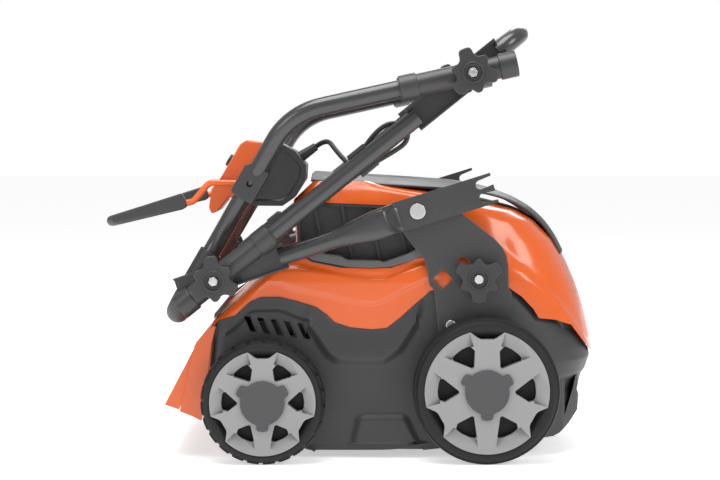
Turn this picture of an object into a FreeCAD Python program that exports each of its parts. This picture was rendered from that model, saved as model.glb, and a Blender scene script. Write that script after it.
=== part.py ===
"""Walk-behind electric lawn scarifier with a three-part folding handle.

Frame: millimetres, +X to the machine's front, +Y to its left side, +Z up.
The origin is on the ground under the middle of the folded machine.
The handle is drawn folded; the names right and left are the machine's own.
"""
import FreeCAD, Part
import math
import os
import re
from FreeCAD import Placement, Rotation, Vector

doc = FreeCAD.newDocument("lawn_scarifier")

# ---------------------------------------------------------------- driving sizes
SIZES = {
    "chassis_half": 197,
    "chassis_wall": 4,
    "hood_wall": 3,
    "bracket_gap": 4,
    "bracket_sheet": 3,
    "bar_gap": 2,
    "bar_sheet": 5,
    "pivot_x": 86,
    "pivot_z": 343,
    "rivet_radius": 6,
    "stud_radius": 6,
    "stud_travel": 31,
    "notch_reach": 93,
    "slot_angle": -48,
    "lower_bar_length": 291,
    "lower_bar_angle": 198.4,
    "notch_plate_angle": 17.3,
    "plate_width": 42,
    "middle_length": 445,
    "middle_angle": 38.8,
    "upper_leg_length": 250,
    "upper_leg_angle": 192.5,
    "upper_end_length": 320,
    "upper_end_angle": 239.7,
    "handle_end_half": 194,
    "tube_radius": 12.5,
    "tube_wall": 1.5,
    "sleeve_wall": 3,
    "sleeve_front": 100,
    "sleeve_tail": 56,
    "bolt_radius": 4,
    "knob_radius": 34,
    "knob_thick": 22,
    "run_clearance": 0.05,
    "side_clearance": 1,
    "front_wheel_radius": 100,
    "rear_wheel_radius": 85,
    "front_axle_x": 179,
    "rear_axle_x": -125,
    "wheel_width": 48,
    "wheel_inner": 216,
    "tyre_thick": 16,
    "axle_radius": 5,
    "cap_radius": 30,
    "rotor_x": 42,
    "rotor_z": 62,
    "knife_radius": 50,
    "rotor_shaft_radius": 10,
    "motor_x": 170,
    "motor_z": 222,
    "motor_radius": 50,
    "motor_shaft_radius": 7,
    "belt_width": 10,
    "flap_hinge_x": -214,
    "flap_hinge_z": 157,
    "hinge_rod_radius": 3,
    "bail_rod_radius": 4.5,
    "grip_wall": 3.5,
    "button_radius": 9,
    "cable_radius": 3.5,
    "bearing_radius": 17,
    "spacer_radius": 14,
    "rotor_pulley_radius": 24,
    "motor_pulley_radius": 16,
    "fan_radius": 42,
    "far_side": 320,
}
sheet = doc.addObject("Spreadsheet::Sheet", "Sizes")
for row, (alias, value) in enumerate(SIZES.items(), start=1):
    sheet.set(f"A{row}", alias)
    sheet.set(f"B{row}", str(value))
    sheet.setAlias(f"B{row}", alias)
doc.recompute()

# Places follow from the sizes: each is worked out once, by the document itself.
PLACES = {
    "hood_half": "chassis_half + hood_wall",
    "bracket_y": "hood_half + bracket_gap",
    "bar_y": "bracket_y + bracket_sheet + bar_gap",
    "lower_tube_y": "bar_y + tube_radius - 0.5",
    "sleeve_radius": "tube_radius + sleeve_wall",
    "middle_tube_y": "lower_tube_y + sleeve_radius + 3",
    "upper_tube_y": "middle_tube_y + sleeve_radius + 3",
    "elbow_x": "pivot_x + lower_bar_length * cos(lower_bar_angle * 1deg)",
    "elbow_z": "pivot_z + lower_bar_length * sin(lower_bar_angle * 1deg)",
    "top_x": "elbow_x + middle_length * cos(middle_angle * 1deg)",
    "top_z": "elbow_z + middle_length * sin(middle_angle * 1deg)",
    "bend_x": "top_x + upper_leg_length * cos(upper_leg_angle * 1deg)",
    "bend_z": "top_z + upper_leg_length * sin(upper_leg_angle * 1deg)",
    "stud_x": "pivot_x + (notch_reach + stud_travel) * cos(slot_angle * 1deg)",
    "stud_z": "pivot_z + (notch_reach + stud_travel) * sin(slot_angle * 1deg)",
    "wheel_outer": "wheel_inner + wheel_width",
    "lock_knob_y": "bar_y + bar_sheet + side_clearance",
    "elbow_knob_y": "middle_tube_y + sleeve_radius + side_clearance",
    "top_knob_y": "upper_tube_y + sleeve_radius + side_clearance",
}


def sheet_names(expression):
    """Write an expression of plain names as FreeCAD's own references."""
    def reference(found):
        word = found.group(0)
        if word in SIZES:
            return "Sizes." + word
        if word in PLACES:
            return "Places." + word
        return word
    return re.sub(r"[a-z][a-z_]+", reference, expression)


at = doc.addObject("App::FeaturePython", "Places")
for name, expression in PLACES.items():
    at.addProperty("App::PropertyFloat", name)
    at.setExpression(name, sheet_names(expression))
    doc.recompute()


def size(alias):
    return float(sheet.get(alias))


def bind(item, **sizes):
    """Tie properties of a document object to the sheet; __ stands for a dot."""
    for name, value in sizes.items():
        item.setExpression(name.replace("__", "."), sheet_names(str(value)))
    return item


def towards(angle, distance=1.0):
    """A step in the X-Z plane; the angle is counted from +X towards +Z."""
    turn = math.radians(angle)
    return Vector(distance * math.cos(turn), 0, distance * math.sin(turn))


# ---------------------------------------------------------------- shape helpers
ALONG_Y = Rotation(Vector(1, 0, 0), -90)


def rod(name, x, z, low_y, high_y, radius):
    """A round bar along Y between two places across the machine."""
    bar = doc.addObject("Part::Cylinder", name)
    bar.Placement = Placement(Vector(), ALONG_Y)
    return bind(bar, Radius=radius, Height=f"({high_y}) - ({low_y})",
                Placement__Base__x=x, Placement__Base__y=low_y, Placement__Base__z=z)


def outline_sketch(name, points, upright=True):
    """A closed outline in the X-Z plane, or in plan when upright is False."""
    sketch = doc.addObject("Sketcher::SketchObject", name)
    corners = [Vector(across, along, 0) for across, along in points]
    closed = corners[1:] + corners[:1]
    sketch.addGeometry([Part.LineSegment(a, b) for a, b in zip(corners, closed)], False)
    if upright:
        sketch.Placement = Placement(Vector(), Rotation(Vector(1, 0, 0), 90))
    return sketch


def slab(name, points, low_y, high_y):
    """An outline in the X-Z plane made into a solid from low_y to high_y."""
    block = doc.addObject("Part::Extrusion", name)
    block.Base = outline_sketch(name + "_outline", points)
    block.DirMode = "Custom"
    block.Dir = (0, 1, 0)
    block.Solid = True
    return bind(block, LengthFwd=high_y, LengthRev=f"-({low_y})")


def column(name, points, low_z, high_z):
    """An outline in plan made into a solid between two heights."""
    block = doc.addObject("Part::Extrusion", name)
    block.Base = outline_sketch(name + "_outline", points, upright=False)
    block.DirMode = "Custom"
    block.Dir = (0, 0, 1)
    block.Solid = True
    return bind(block, LengthFwd=high_z, LengthRev=f"-({low_z})")


def lengthwise(name, points, low_x, high_x):
    """A cross-section in the Y-Z plane made into a solid along X."""
    block = doc.addObject("Part::Extrusion", name)
    sketch = outline_sketch(name + "_outline", points, upright=False)
    sketch.Placement = Placement(Vector(), Rotation(Vector(1, 1, 1), 120))
    block.Base = sketch
    block.DirMode = "Custom"
    block.Dir = (1, 0, 0)
    block.Solid = True
    return bind(block, LengthFwd=high_x, LengthRev=f"-({low_x})")


def cut(name, base, *tools):
    """The base with each tool taken away in turn."""
    for number, tool in enumerate(tools, start=1):
        last = number == len(tools)
        result = doc.addObject("Part::Cut", name if last else f"{name}_cut_{number}")
        result.Base = base
        result.Tool = tool
        base = result
    return base


def fuse(name, *pieces):
    joined = doc.addObject("Part::MultiFuse", name)
    joined.Shapes = list(pieces)
    joined.Refine = True
    return joined


def common(name, *pieces):
    shared = doc.addObject("Part::MultiCommon", name)
    shared.Shapes = list(pieces)
    return shared


def mirrored(name, piece):
    """The same piece on the machine's left side."""
    copy = doc.addObject("Part::Mirroring", name)
    copy.Source = piece
    copy.Normal = (0, 1, 0)
    return copy


def group(name, *pieces):
    """Separate solids that share one node."""
    compound = doc.addObject("Part::Compound", name)
    compound.Links = list(pieces)
    return compound


def both_sides(name, piece):
    return group(name, piece, mirrored(name + "_left_half", piece))


def rounded_path(points, radii):
    """Straight runs joined by tangent arcs, one radius for each inner point."""
    edges = []
    start = points[0]
    for before, corner, after, radius in zip(points, points[1:], points[2:], radii):
        back = (before - corner).normalize()
        ahead = (after - corner).normalize()
        half_turn = (math.pi - back.getAngle(ahead)) / 2
        reach = radius * math.tan(half_turn)
        enter = corner + back * reach
        leave = corner + ahead * reach
        bisector = (back + ahead).normalize()
        centre = corner + bisector * (radius / math.cos(half_turn))
        middle = centre - bisector * radius
        edges.append(Part.LineSegment(start, enter).toShape())
        edges.append(Part.Arc(enter, middle, leave).toShape())
        start = leave
    edges.append(Part.LineSegment(start, points[-1]).toShape())
    return Part.Wire(edges)


def pipe_along(path, radius):
    """A round solid swept along a path of runs and arcs."""
    first = path.Edges[0]
    start = first.valueAt(first.FirstParameter)
    direction = first.tangentAt(first.FirstParameter)
    circle = Part.Wire(Part.Circle(start, direction, radius).toShape())
    return path.makePipeShell([circle], True, False)


def feature(name, shape):
    item = doc.addObject("Part::Feature", name)
    item.Shape = shape
    item.Placement = Placement()
    return item


SUBPARTS = {}


def keep(node, item):
    """Name a finished sub-part: its label is its file's name."""
    item.Label = node
    SUBPARTS[node] = item
    return item


# ---------------------------------------------------------------- chassis shells
# Side outlines are (x, z); the front is rounded in plan and the shoulders lean
# inwards above the wheels, so a shell is what three outlines have in common.
HOOD_TOP = [(-207, 171), (-196, 192), (-131, 251), (-90, 283), (-82, 300), (-86, 357),
            (-60, 381), (90, 374), (150, 363), (200, 350), (227, 342), (254, 326),
            (279, 300), (287, 287), (301, 262), (314, 235), (328, 202), (340, 166),
            (346, 140)]
SKIRT_LINE = [(347, 128), (320, 158), (303, 180), (279, 189), (255, 192), (247, 205),
              (231, 222), (211, 236), (104, 231), (89, 217), (62, 193), (44, 179),
              (23, 177), (-7, 180), (-28, 187), (-38, 197), (-53, 208), (-79, 216),
              (-104, 222), (-130, 222), (-145, 216), (-165, 197), (-188, 190),
              (-208, 168)]
TUB_SIDE = [(-68, 10), (98, 10), (283, 26), (292, 30), (308, 43), (322, 59), (326, 79),
            (321, 89), (327, 103), (335, 114), (341, 132), (338, 148), (320, 185),
            (260, 235), (215, 252), (100, 248), (60, 212), (30, 195), (-25, 206),
            (-60, 226), (-140, 236), (-195, 200), (-197, 160), (-201, 129), (-192, 60)]


def plan_outline(inset):
    """The machine from above: a rounded front end and square rear corners."""
    half = at.hood_half - inset
    side = [(-300, half), (262, half), (298, half - 8), (322, half - 36),
            (336 - inset, half - 80), (345 - inset, half - 140), (347 - inset, half - 190)]
    return side + [(x, -y) for x, y in reversed(side)]


def cross_outline(inset):
    """The machine from the front: upright flanks under leaning shoulders."""
    half = at.hood_half - inset
    side = [(half, 0), (half, 250), (half - 7, 270), (half - 28, 354), (half - 44, 384),
            (half - 60, 420)]
    return side + [(-y, z) for y, z in reversed(side)]


def hull(name, side_points, inset, side_inset=0):
    """Solid inside the three outlines, with the side outline moved in."""
    flat = outline_sketch(name + "_side", side_points)
    if side_inset:
        moved = doc.addObject("Part::Offset2D", name + "_side_in")
        moved.Source = flat
        moved.Join = 2
        moved.Value = -side_inset
        flat = moved
    side = doc.addObject("Part::Extrusion", name + "_side_block")
    side.Base = flat
    side.DirMode = "Custom"
    side.Dir = (0, 1, 0)
    side.Solid = True
    bind(side, LengthFwd=300, LengthRev=300)
    plan = column(name + "_plan", plan_outline(inset), "-50", "450")
    cross = lengthwise(name + "_cross", cross_outline(inset), "-300", "400")
    return common(name, side, plan, cross)


# Hood: an open-bottomed plastic shell whose skirt follows the wheel arches.
wall = size("hood_wall")
HOOD_BLOCK = [(-230, 60), (-230, 150)] + HOOD_TOP + [(347, 60)]
HOOD_DEEP = [(-230, -60), (-230, 150)] + HOOD_TOP + [(347, -60)]
hood_outer = hull("hood_outer", HOOD_BLOCK, 0)
hood_inner = hull("hood_inner", HOOD_DEEP, wall, wall)
below_skirt = slab("below_skirt", SKIRT_LINE + [(-260, 168), (-260, 0), (380, 0)],
                   "-far_side", "far_side")
WINDOW = [(-79, 284), (-79, 350), (-40, 352), (40, 349), (112, 342), (112, 300),
          (98, 284), (80, 274), (50, 264), (-19, 264), (-60, 272)]
window = slab("side_window", WINDOW, "-far_side", "-(hood_half - 35)")
windows = both_sides("side_windows", window)
WING = [(-207, 171), (-216, 167), (-222, 157), (-243, 65), (-213, 51), (-204, 80),
        (-203, 129), (-199, 160), (-195, 185)]
wing = slab("wing_blank", WING, "-hood_half", "-chassis_half")
wing_hole = rod("wing_hole", "flap_hinge_x", "flap_hinge_z", "-far_side", "far_side",
                "hinge_rod_radius")
wing_right = cut("wing_right", wing, wing_hole)
hood_shell = cut("hood_shell", hood_outer, hood_inner, below_skirt, windows)
keep("hood", fuse("hood_whole", hood_shell, wing_right, mirrored("wing_left", wing_right)))

# Lower housing: a tub with a deck over the knife chamber, narrower below.
tub_outer = hull("tub_outer", TUB_SIDE, wall)
CHAMBER = [(-60, -20), (-185, 66), (-190, 150), (330, 150), (314, 90), (300, 52),
           (280, 38), (95, -20)]
UPPER_BAY = [(-190, 155), (-190, 300), (320, 300), (320, 155)]
chamber = slab("knife_chamber", CHAMBER, "-(chassis_half - 11)", "chassis_half - 11")
upper_bay_side = slab("upper_bay_side", UPPER_BAY,
                      "-(chassis_half - chassis_wall)", "chassis_half - chassis_wall")
upper_bay_plan = column("upper_bay_plan", plan_outline(wall + size("chassis_wall")), "-50", "450")
upper_bay = common("upper_bay", upper_bay_side, upper_bay_plan)
LOWER_FLANK = [(-85, -20), (-66, 191), (-53, 173), (-38, 150), (-25, 141), (39, 139),
               (62, 155), (84, 190), (96, -20)]
flank = slab("flank_recess", LOWER_FLANK, "-far_side", "-(chassis_half - 7)")
flanks = both_sides("flank_recesses", flank)
BOSS = [(-10, 12), (3, 52), (11, 61), (73, 59), (90, 24), (92, 12)]
boss = slab("bearing_boss", BOSS, "-(chassis_half - 1)", "-(chassis_half - 11)")
bosses = both_sides("bearing_bosses", boss)
vents = []
for number in range(5):
    left = -156 + 18 * number
    lean = [(left, 196 - 2 * number), (left + 10, 196 - 2 * number),
            (left + 18, 176 - 2 * number), (left + 8, 176 - 2 * number)]
    vents.append(slab(f"vent_{number + 1}", lean, "-far_side", "far_side"))
axle_bores = [
    rod("front_axle_bore", "front_axle_x", "front_wheel_radius", "-far_side", "far_side",
        "axle_radius"),
    rod("rear_axle_bore", "rear_axle_x", "rear_wheel_radius", "-far_side", "far_side",
        "axle_radius"),
]
rotor_bore = rod("rotor_bore", "rotor_x", "rotor_z", "-(chassis_half - 8)", "chassis_half - 8",
                 "bearing_radius")
belt_slot = slab("belt_slot", [(70, 140), (150, 140), (150, 165), (70, 165)],
                 "chassis_half - 38", "chassis_half - 11")
outlet = slab("rear_outlet", [(-230, 45), (-180, 45), (-180, 140), (-230, 140)],
              "-(chassis_half - 17)", "chassis_half - 17")
tub = cut("tub_hollow", tub_outer, chamber, upper_bay, flanks, outlet)
tub = fuse("tub_with_bosses", tub, bosses)
keep("lower_housing", cut("lower_housing_cut", tub, *vents, *axle_bores, rotor_bore, belt_slot,
                          SUBPARTS["hood"]))

# Top cover: a dark lid that sits on the hood's crest, open underneath.
LID_TOP = [(301, 264), (301, 285), (287, 311), (271, 331), (238, 357), (204, 370),
           (158, 380), (130, 382), (73, 386), (23, 389), (-66, 394), (-56, 382)]
LID_SEAT = [(-60, 381), (90, 374), (150, 363), (200, 350), (227, 342), (254, 326),
            (279, 300), (287, 287)]


def lid_plan(inset):
    side = [(-80 + inset, 148 - inset), (60, 150 - inset), (190, 128 - inset),
            (290, 108 - inset), (320, 104 - inset)]
    return side + [(x, -y) for x, y in reversed(side)]


lid_block = common("lid_block", slab("lid_side", LID_TOP + LID_SEAT[1:], "-200", "200"),
                   column("lid_plan_block", lid_plan(0), "-50", "450"))
LID_HOLLOW = [(295, 200), (295, 284), (284, 308), (268, 327), (236, 353), (203, 366),
              (158, 376), (73, 382), (23, 385), (-52, 390), (-52, 200)]
lid_hollow = common("lid_hollow", slab("lid_hollow_side", LID_HOLLOW, "-200", "200"),
                    column("lid_hollow_plan", lid_plan(wall), "-50", "450"))
keep("top_cover", cut("top_cover_cut", lid_block, lid_hollow))

# Side panels: open dishes in the hood's windows, with slanted grip ribs.
panel_block = slab("panel_block", WINDOW, "-hood_half", "-(hood_half - 34)")
panel_outer = hull("panel_outer", HOOD_DEEP, 0)
dish_trim = common("dish_trim", panel_block, panel_outer)
DISH = [(-76, 286), (-76, 347), (-40, 349), (40, 346), (109, 339), (109, 301),
        (96, 287), (79, 277), (50, 267), (-19, 267), (-58, 275)]
dish_hollow = slab("dish_hollow", DISH, "-far_side", "-(hood_half - 31)")
dish = cut("dish", dish_trim, dish_hollow)
ribs = []
for number in range(4):
    foot = -42 + 38 * number
    lean = [(foot, 266), (foot + 4, 266), (foot - 12, 348), (foot - 16, 348)]
    rib = slab(f"rib_{number + 1}", lean, "-(hood_half - 27)", "-(hood_half - 32)")
    ribs.append(common(f"rib_trim_{number + 1}", rib, slab(f"rib_room_{number + 1}", DISH,
                                                          "-hood_half", "-(hood_half - 34)")))
keep("side_panels", both_sides("side_panel_pair", fuse("side_panel_right", dish, *ribs)))

# Rear flap: a skin with side webs, hung on a rod between the hood's wings.
FLAP_SKIN = [(-220.5, 154), (-264, 74), (-261, 72.5), (-215, 151)]
FLAP_WEB = [(-221, 156), (-264, 74), (-244, 67), (-214, 146), (-212, 156)]
knuckle = rod("flap_knuckle", "flap_hinge_x", "flap_hinge_z", "-(chassis_half - side_clearance)",
              "chassis_half - side_clearance", "hinge_rod_radius + 4")
knuckle_bore = rod("flap_bore", "flap_hinge_x", "flap_hinge_z", "-far_side", "far_side",
                   "hinge_rod_radius + run_clearance")
skin = slab("flap_skin", FLAP_SKIN, "-(chassis_half - side_clearance)",
            "chassis_half - side_clearance")
web = slab("flap_web", FLAP_WEB, "-(chassis_half - side_clearance)", "-(chassis_half - 5)")
flap_solid = fuse("flap_solid", knuckle, skin, web, mirrored("flap_web_left", web))
keep("rear_flap", cut("rear_flap_cut", flap_solid, knuckle_bore))
keep("flap_hinge_rod", rod("hinge_rod", "flap_hinge_x", "flap_hinge_z", "-hood_half",
                           "hood_half", "hinge_rod_radius"))

# ------------------------------------------------------------- handle brackets
# A steel plate on each flank: pivot hole, radial locking slot, square hole.
BRACKET = [(64, 338), (70, 357), (86, 365), (104, 359), (148, 339), (192, 305),
           (207, 286), (211, 270), (212, 237), (216, 231), (214, 170), (116, 170),
           (109, 234), (103, 241), (98, 269), (87, 286), (67, 312)]
pivot = Vector(size("pivot_x"), 0, size("pivot_z"))


def slot_outline(angle, near, far, half):
    """A radial slot from the pivot, square at both ends."""
    ahead = towards(angle)
    aside = towards(angle + 90, half)
    corners = [pivot + ahead * near - aside, pivot + ahead * far - aside,
               pivot + ahead * far + aside, pivot + ahead * near + aside]
    return [(corner.x, corner.z) for corner in corners]


stud_room = size("stud_radius") + size("run_clearance") + 0.25
plate = slab("bracket_blank", BRACKET, "-(bracket_y + bracket_sheet)", "-bracket_y")
pivot_hole = rod("bracket_pivot_hole", "pivot_x", "pivot_z", "-far_side", "far_side",
                 "rivet_radius")
reach = size("notch_reach")
far_reach = reach + size("stud_travel")
slot = slab("bracket_slot", slot_outline(size("slot_angle"), reach, far_reach, stud_room),
            "-far_side", "0")
slot_ends = []
for name, distance in (("near", reach), ("far", far_reach)):
    centre = pivot + towards(size("slot_angle"), distance)
    slot_ends.append(rod(f"slot_{name}_end", centre.x, centre.z, "-far_side", "0", stud_room))
square = slab("bracket_square_hole", [(121, 234), (136, 249), (121, 264), (106, 249)],
              "-far_side", "0")
FIXING_PLACES = [(132, 186), (198, 186)]
fixing_holes = []
fixing_screws = []
for number, (x, z) in enumerate(FIXING_PLACES, start=1):
    fixing_holes.append(rod(f"fixing_hole_{number}", x, z, "-far_side", "0", "bolt_radius"))
    shank = rod(f"fixing_shank_{number}", x, z, "-(bar_y - 1)", "-hood_half", "bolt_radius")
    spacer = rod(f"fixing_spacer_{number}", x, z, "-bracket_y", "-hood_half", "bolt_radius + 4")
    head = rod(f"fixing_head_{number}", x, z, "-(bar_y + 2)", "-(bar_y - 2)", "bolt_radius + 3")
    fixing_screws.append(fuse(f"fixing_screw_{number}", shank, spacer, head))
bracket = cut("bracket_right", plate, pivot_hole, slot, *slot_ends, square, *fixing_holes)
keep("handle_brackets", both_sides("bracket_pair", bracket))
rivet = fuse("pivot_rivet",
             rod("rivet_shank", "pivot_x", "pivot_z", "-(bar_y + bar_sheet)",
                 "-(bracket_y - 2)", "rivet_radius"),
             rod("rivet_head", "pivot_x", "pivot_z", "-(bar_y + bar_sheet + 3.5)",
                 "-(bar_y + bar_sheet + 0.1)", "rivet_radius + 5"),
             rod("rivet_tail", "pivot_x", "pivot_z", "-bracket_y", "-(bracket_y - 2)",
                 "rivet_radius + 4"))
keep("bracket_rivets", both_sides("rivet_pair", rivet))
keep("bracket_screws", both_sides("screw_set", group("screws_right", *fixing_screws)))

# ------------------------------------------------------------------ wheels
keep("wheel_axles", group("axle_pair", *[
    rod(f"{end}_axle", f"{end}_axle_x", f"{end}_wheel_radius", "-(wheel_outer - 8)",
        "wheel_outer - 8", "axle_radius") for end in ("front", "rear")]))


def ring(name, x, z, low_y, high_y, outer, inner):
    """A round ring along Y."""
    return cut(name, rod(name + "_blank", x, z, low_y, high_y, outer),
               rod(name + "_bore", x, z, f"({low_y}) - 20", f"({high_y}) + 20", inner))


def wheel_pieces(end):
    """Tyre, six-window rim and three-lobed cap of the right-hand wheel."""
    x = f"{end}_axle_x"
    radius = f"{end}_wheel_radius"
    tyre = ring(f"{end}_tyre", x, radius, "-wheel_outer", "-wheel_inner",
                radius, f"{radius} - tyre_thick")
    rim_radius = size(radius) - size("tyre_thick")
    barrel = ring(f"{end}_barrel", x, radius, "-(wheel_outer - 2)", "-(wheel_inner + 4)",
                  f"{radius} - tyre_thick", f"{radius} - tyre_thick - 4")
    disc = rod(f"{end}_disc", x, radius, "-(wheel_outer - 5)", "-(wheel_outer - 11)",
               f"{radius} - tyre_thick - 2")
    hub = rod(f"{end}_hub", x, radius, "-(wheel_outer - 11)", "-(wheel_inner + 6)",
              "axle_radius + 11")
    centre = Vector(size(x), 0, size(radius))
    holes = []
    for number in range(6):
        angle = 60 * number
        inner_point = centre + towards(angle, rim_radius * 0.46)
        low = centre + towards(angle - 13.5, rim_radius * 0.8)
        high = centre + towards(angle + 13.5, rim_radius * 0.8)
        corners = [(point.x, point.z) for point in (inner_point, low, high)]
        holes.append(slab(f"{end}_window_{number + 1}", corners, "-far_side", "0"))
    bore = rod(f"{end}_hub_bore", x, radius, "-(wheel_outer - 8 + 0.5)", "0",
               "axle_radius + run_clearance")
    rim = cut(f"{end}_rim", fuse(f"{end}_rim_solid", barrel, disc, hub), *holes, bore)
    lobes = []
    for number in range(3):
        lobe_centre = centre + towards(30 + 120 * number, size("cap_radius") - 1)
        lobes.append(rod(f"{end}_lobe_{number + 1}", lobe_centre.x, lobe_centre.z,
                         "-(wheel_outer - 1)", "-(wheel_outer - 5)", 9.5))
    cap = fuse(f"{end}_cap", rod(f"{end}_cap_disc", x, radius, "-wheel_outer",
                                 "-(wheel_outer - 5)", "cap_radius"), *lobes)
    return {"tyre": tyre, "rim": rim, "hub_cap": cap}


for end in ("front", "rear"):
    for piece, shape in wheel_pieces(end).items():
        keep(f"{end}_right_{piece}", shape)
        keep(f"{end}_left_{piece}", mirrored(f"{end}_left_{piece}_copy", shape))

# ------------------------------------------------------------- drive train
keep("rotor_shaft", rod("rotor_shaft_bar", "rotor_x", "rotor_z", "-(chassis_half - 12)",
                        "chassis_half - 9", "rotor_shaft_radius"))
bearing = ring("bearing_right", "rotor_x", "rotor_z", "-(chassis_half - 8)",
               "-(chassis_half - 20)", "bearing_radius", "rotor_shaft_radius + run_clearance")
keep("shaft_bearings", both_sides("bearing_pair", bearing))
knives = []
spacers = []
KNIFE_COUNT = 15
KNIFE_PITCH = 22
rotor = Vector(size("rotor_x"), 0, size("rotor_z"))
for number in range(KNIFE_COUNT):
    middle_y = KNIFE_PITCH * (number - (KNIFE_COUNT - 1) / 2)
    twist = 24 * number
    corners = []
    for arm in range(3):
        tip = size("knife_radius")
        for angle, distance in ((-25, 16), (0, tip - 6), (14, tip), (20, tip - 8), (35, 17)):
            corner = rotor + towards(twist + 120 * arm + angle, distance)
            corners.append((corner.x, corner.z))
    blade = slab(f"knife_blade_{number + 1}", corners, middle_y - 1.25, middle_y + 1.25)
    hole = rod(f"knife_hole_{number + 1}", "rotor_x", "rotor_z", "-far_side", "far_side",
               "rotor_shaft_radius")
    knives.append(cut(f"knife_{number + 1}", blade, hole))
    if number:
        spacers.append(ring(f"spacer_{number}", "rotor_x", "rotor_z",
                            middle_y - KNIFE_PITCH + 1.25, middle_y - 1.25, "spacer_radius",
                            "rotor_shaft_radius"))
keep("knives", group("knife_set", *knives))
keep("knife_spacers", group("spacer_set", *spacers))
PULLEY_LOW = "chassis_half - 28 - belt_width"
PULLEY_HIGH = "chassis_half - 22"
keep("rotor_pulley", ring("rotor_pulley_ring", "rotor_x", "rotor_z", PULLEY_LOW,
                          PULLEY_HIGH, "rotor_pulley_radius", "rotor_shaft_radius"))
keep("motor_housing", ring("motor_can", "motor_x", "motor_z", "-70", "110", "motor_radius",
                           "motor_shaft_radius + run_clearance"))
keep("motor_shaft", rod("motor_shaft_bar", "motor_x", "motor_z", "-86", "chassis_half - 20",
                        "motor_shaft_radius"))
keep("motor_pulley", ring("motor_pulley_ring", "motor_x", "motor_z", PULLEY_LOW,
                          PULLEY_HIGH, "motor_pulley_radius", "motor_shaft_radius"))
keep("cooling_fan", ring("fan_disc", "motor_x", "motor_z", "-84", "-74", "fan_radius",
                         "motor_shaft_radius"))
motor_centre = Vector(size("motor_x"), 0, size("motor_z"))
span = motor_centre - rotor
lean = math.degrees(math.atan2(span.z, span.x))


def belt_outline(rotor_side, motor_side):
    """A taut loop round the two pulleys, each end as seven short chords."""
    points = []
    for step in range(7):
        points.append(motor_centre + towards(lean - 90 + 30 * step, motor_side))
    for step in range(7):
        points.append(rotor + towards(lean + 90 + 30 * step, rotor_side))
    return [(point.x, point.z) for point in points]


belt_loop = slab("belt_loop", belt_outline(size("rotor_pulley_radius") + 6,
                                           size("motor_pulley_radius") + 5),
                 "chassis_half - 35", "chassis_half - 26")
belt_inside = slab("belt_inside", belt_outline(size("rotor_pulley_radius") + 2,
                                              size("motor_pulley_radius") + 1.5), "0", "300")
keep("drive_belt", cut("belt_cut", belt_loop, belt_inside))

# ------------------------------------------------------------- handle tubes
elbow = Vector(at.elbow_x, 0, at.elbow_z)
top = Vector(at.top_x, 0, at.top_z)
bend = Vector(at.bend_x, 0, at.bend_z)
lower_along = towards(size("lower_bar_angle"))
middle_along = towards(size("middle_angle"))
upper_along = towards(size("upper_leg_angle"))
end_along = towards(size("upper_end_angle"))
handle_end = bend + end_along * size("upper_end_length")
tube_radius = size("tube_radius")


def on_right(point, across):
    """The same place moved out to the machine's right side."""
    return Vector(point.x, -across, point.z)


def tube(points, radii):
    path = rounded_path(points, radii)
    outer = pipe_along(path, tube_radius)
    return outer.cut(pipe_along(path, tube_radius - size("tube_wall")))


def trough(start, along, near, far, across):
    """A flattened length of tube: a flat floor with two rims facing outwards."""
    half = size("tube_radius") + 5.5
    floor_y = across - 9
    sheet_thick = 2.5
    aside = Vector(-along.z, 0, along.x)
    corners = [start + along * near - aside * half, start + along * far - aside * half,
               start + along * far + aside * half, start + along * near + aside * half]
    corners = [Vector(c.x, -floor_y, c.z) for c in corners]
    floor = Part.Face(Part.makePolygon(corners + corners[:1]))
    body = floor.extrude(Vector(0, -12, 0))
    inner = [start + along * (near - 5) - aside * (half - sheet_thick),
             start + along * (far + 5) - aside * (half - sheet_thick),
             start + along * (far + 5) + aside * (half - sheet_thick),
             start + along * (near - 5) + aside * (half - sheet_thick)]
    inner = [Vector(c.x, -(floor_y + sheet_thick), c.z) for c in inner]
    hollow = Part.Face(Part.makePolygon(inner + inner[:1])).extrude(Vector(0, -20, 0))
    return body.cut(hollow)


def cross_hole(point, radius):
    far = size("far_side")
    return Part.makeCylinder(radius, 2 * far, Vector(point.x, -far, point.z), Vector(0, 1, 0))


def flip(shape):
    return shape.mirror(Vector(), Vector(0, 1, 0))


# Lower bar: notched steel plate at the pivot, tube, then a trough at the elbow.
plate_along = towards(size("notch_plate_angle"))
plate_aside = Vector(-plate_along.z, 0, plate_along.x)
half_plate = size("plate_width") / 2
PLATE_BACK = -70
PLATE_FRONT = reach + 17
corners = [pivot + plate_along * PLATE_BACK - plate_aside * 12,
           pivot + plate_along * (PLATE_BACK + 40) - plate_aside * half_plate,
           pivot + plate_along * PLATE_FRONT - plate_aside * half_plate,
           pivot + plate_along * PLATE_FRONT + plate_aside * half_plate,
           pivot + plate_along * (PLATE_BACK + 40) + plate_aside * half_plate,
           pivot + plate_along * PLATE_BACK + plate_aside * 12]
bar_plate = slab("bar_plate", [(c.x, c.z) for c in corners], "-(bar_y + bar_sheet)", "-bar_y")
notches = []
for side in (-1, 1):
    angle = size("notch_plate_angle") + 5.6 * side
    notch_end = pivot + towards(angle, reach)
    notches.append(rod(f"notch_end_{side + 2}", notch_end.x, notch_end.z, "-far_side", "0",
                       stud_room))
    notches.append(slab(f"notch_{side + 2}", slot_outline(angle, reach, reach + 60, stud_room),
                        "-far_side", "0"))
bar_hole = rod("bar_pivot_hole", "pivot_x", "pivot_z", "-far_side", "far_side",
               "rivet_radius + run_clearance")
notched_plate = cut("notched_plate", bar_plate, *notches, bar_hole)
tube_start = elbow - lower_along * size("sleeve_front")
tube_end = pivot + lower_along * 48
bar_tube = tube([on_right(tube_start + lower_along * 8, at.lower_tube_y),
                 on_right(tube_end, at.lower_tube_y)], [])
bar_trough = trough(elbow, -lower_along, -size("sleeve_tail"), size("sleeve_front"),
                    at.lower_tube_y)
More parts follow.
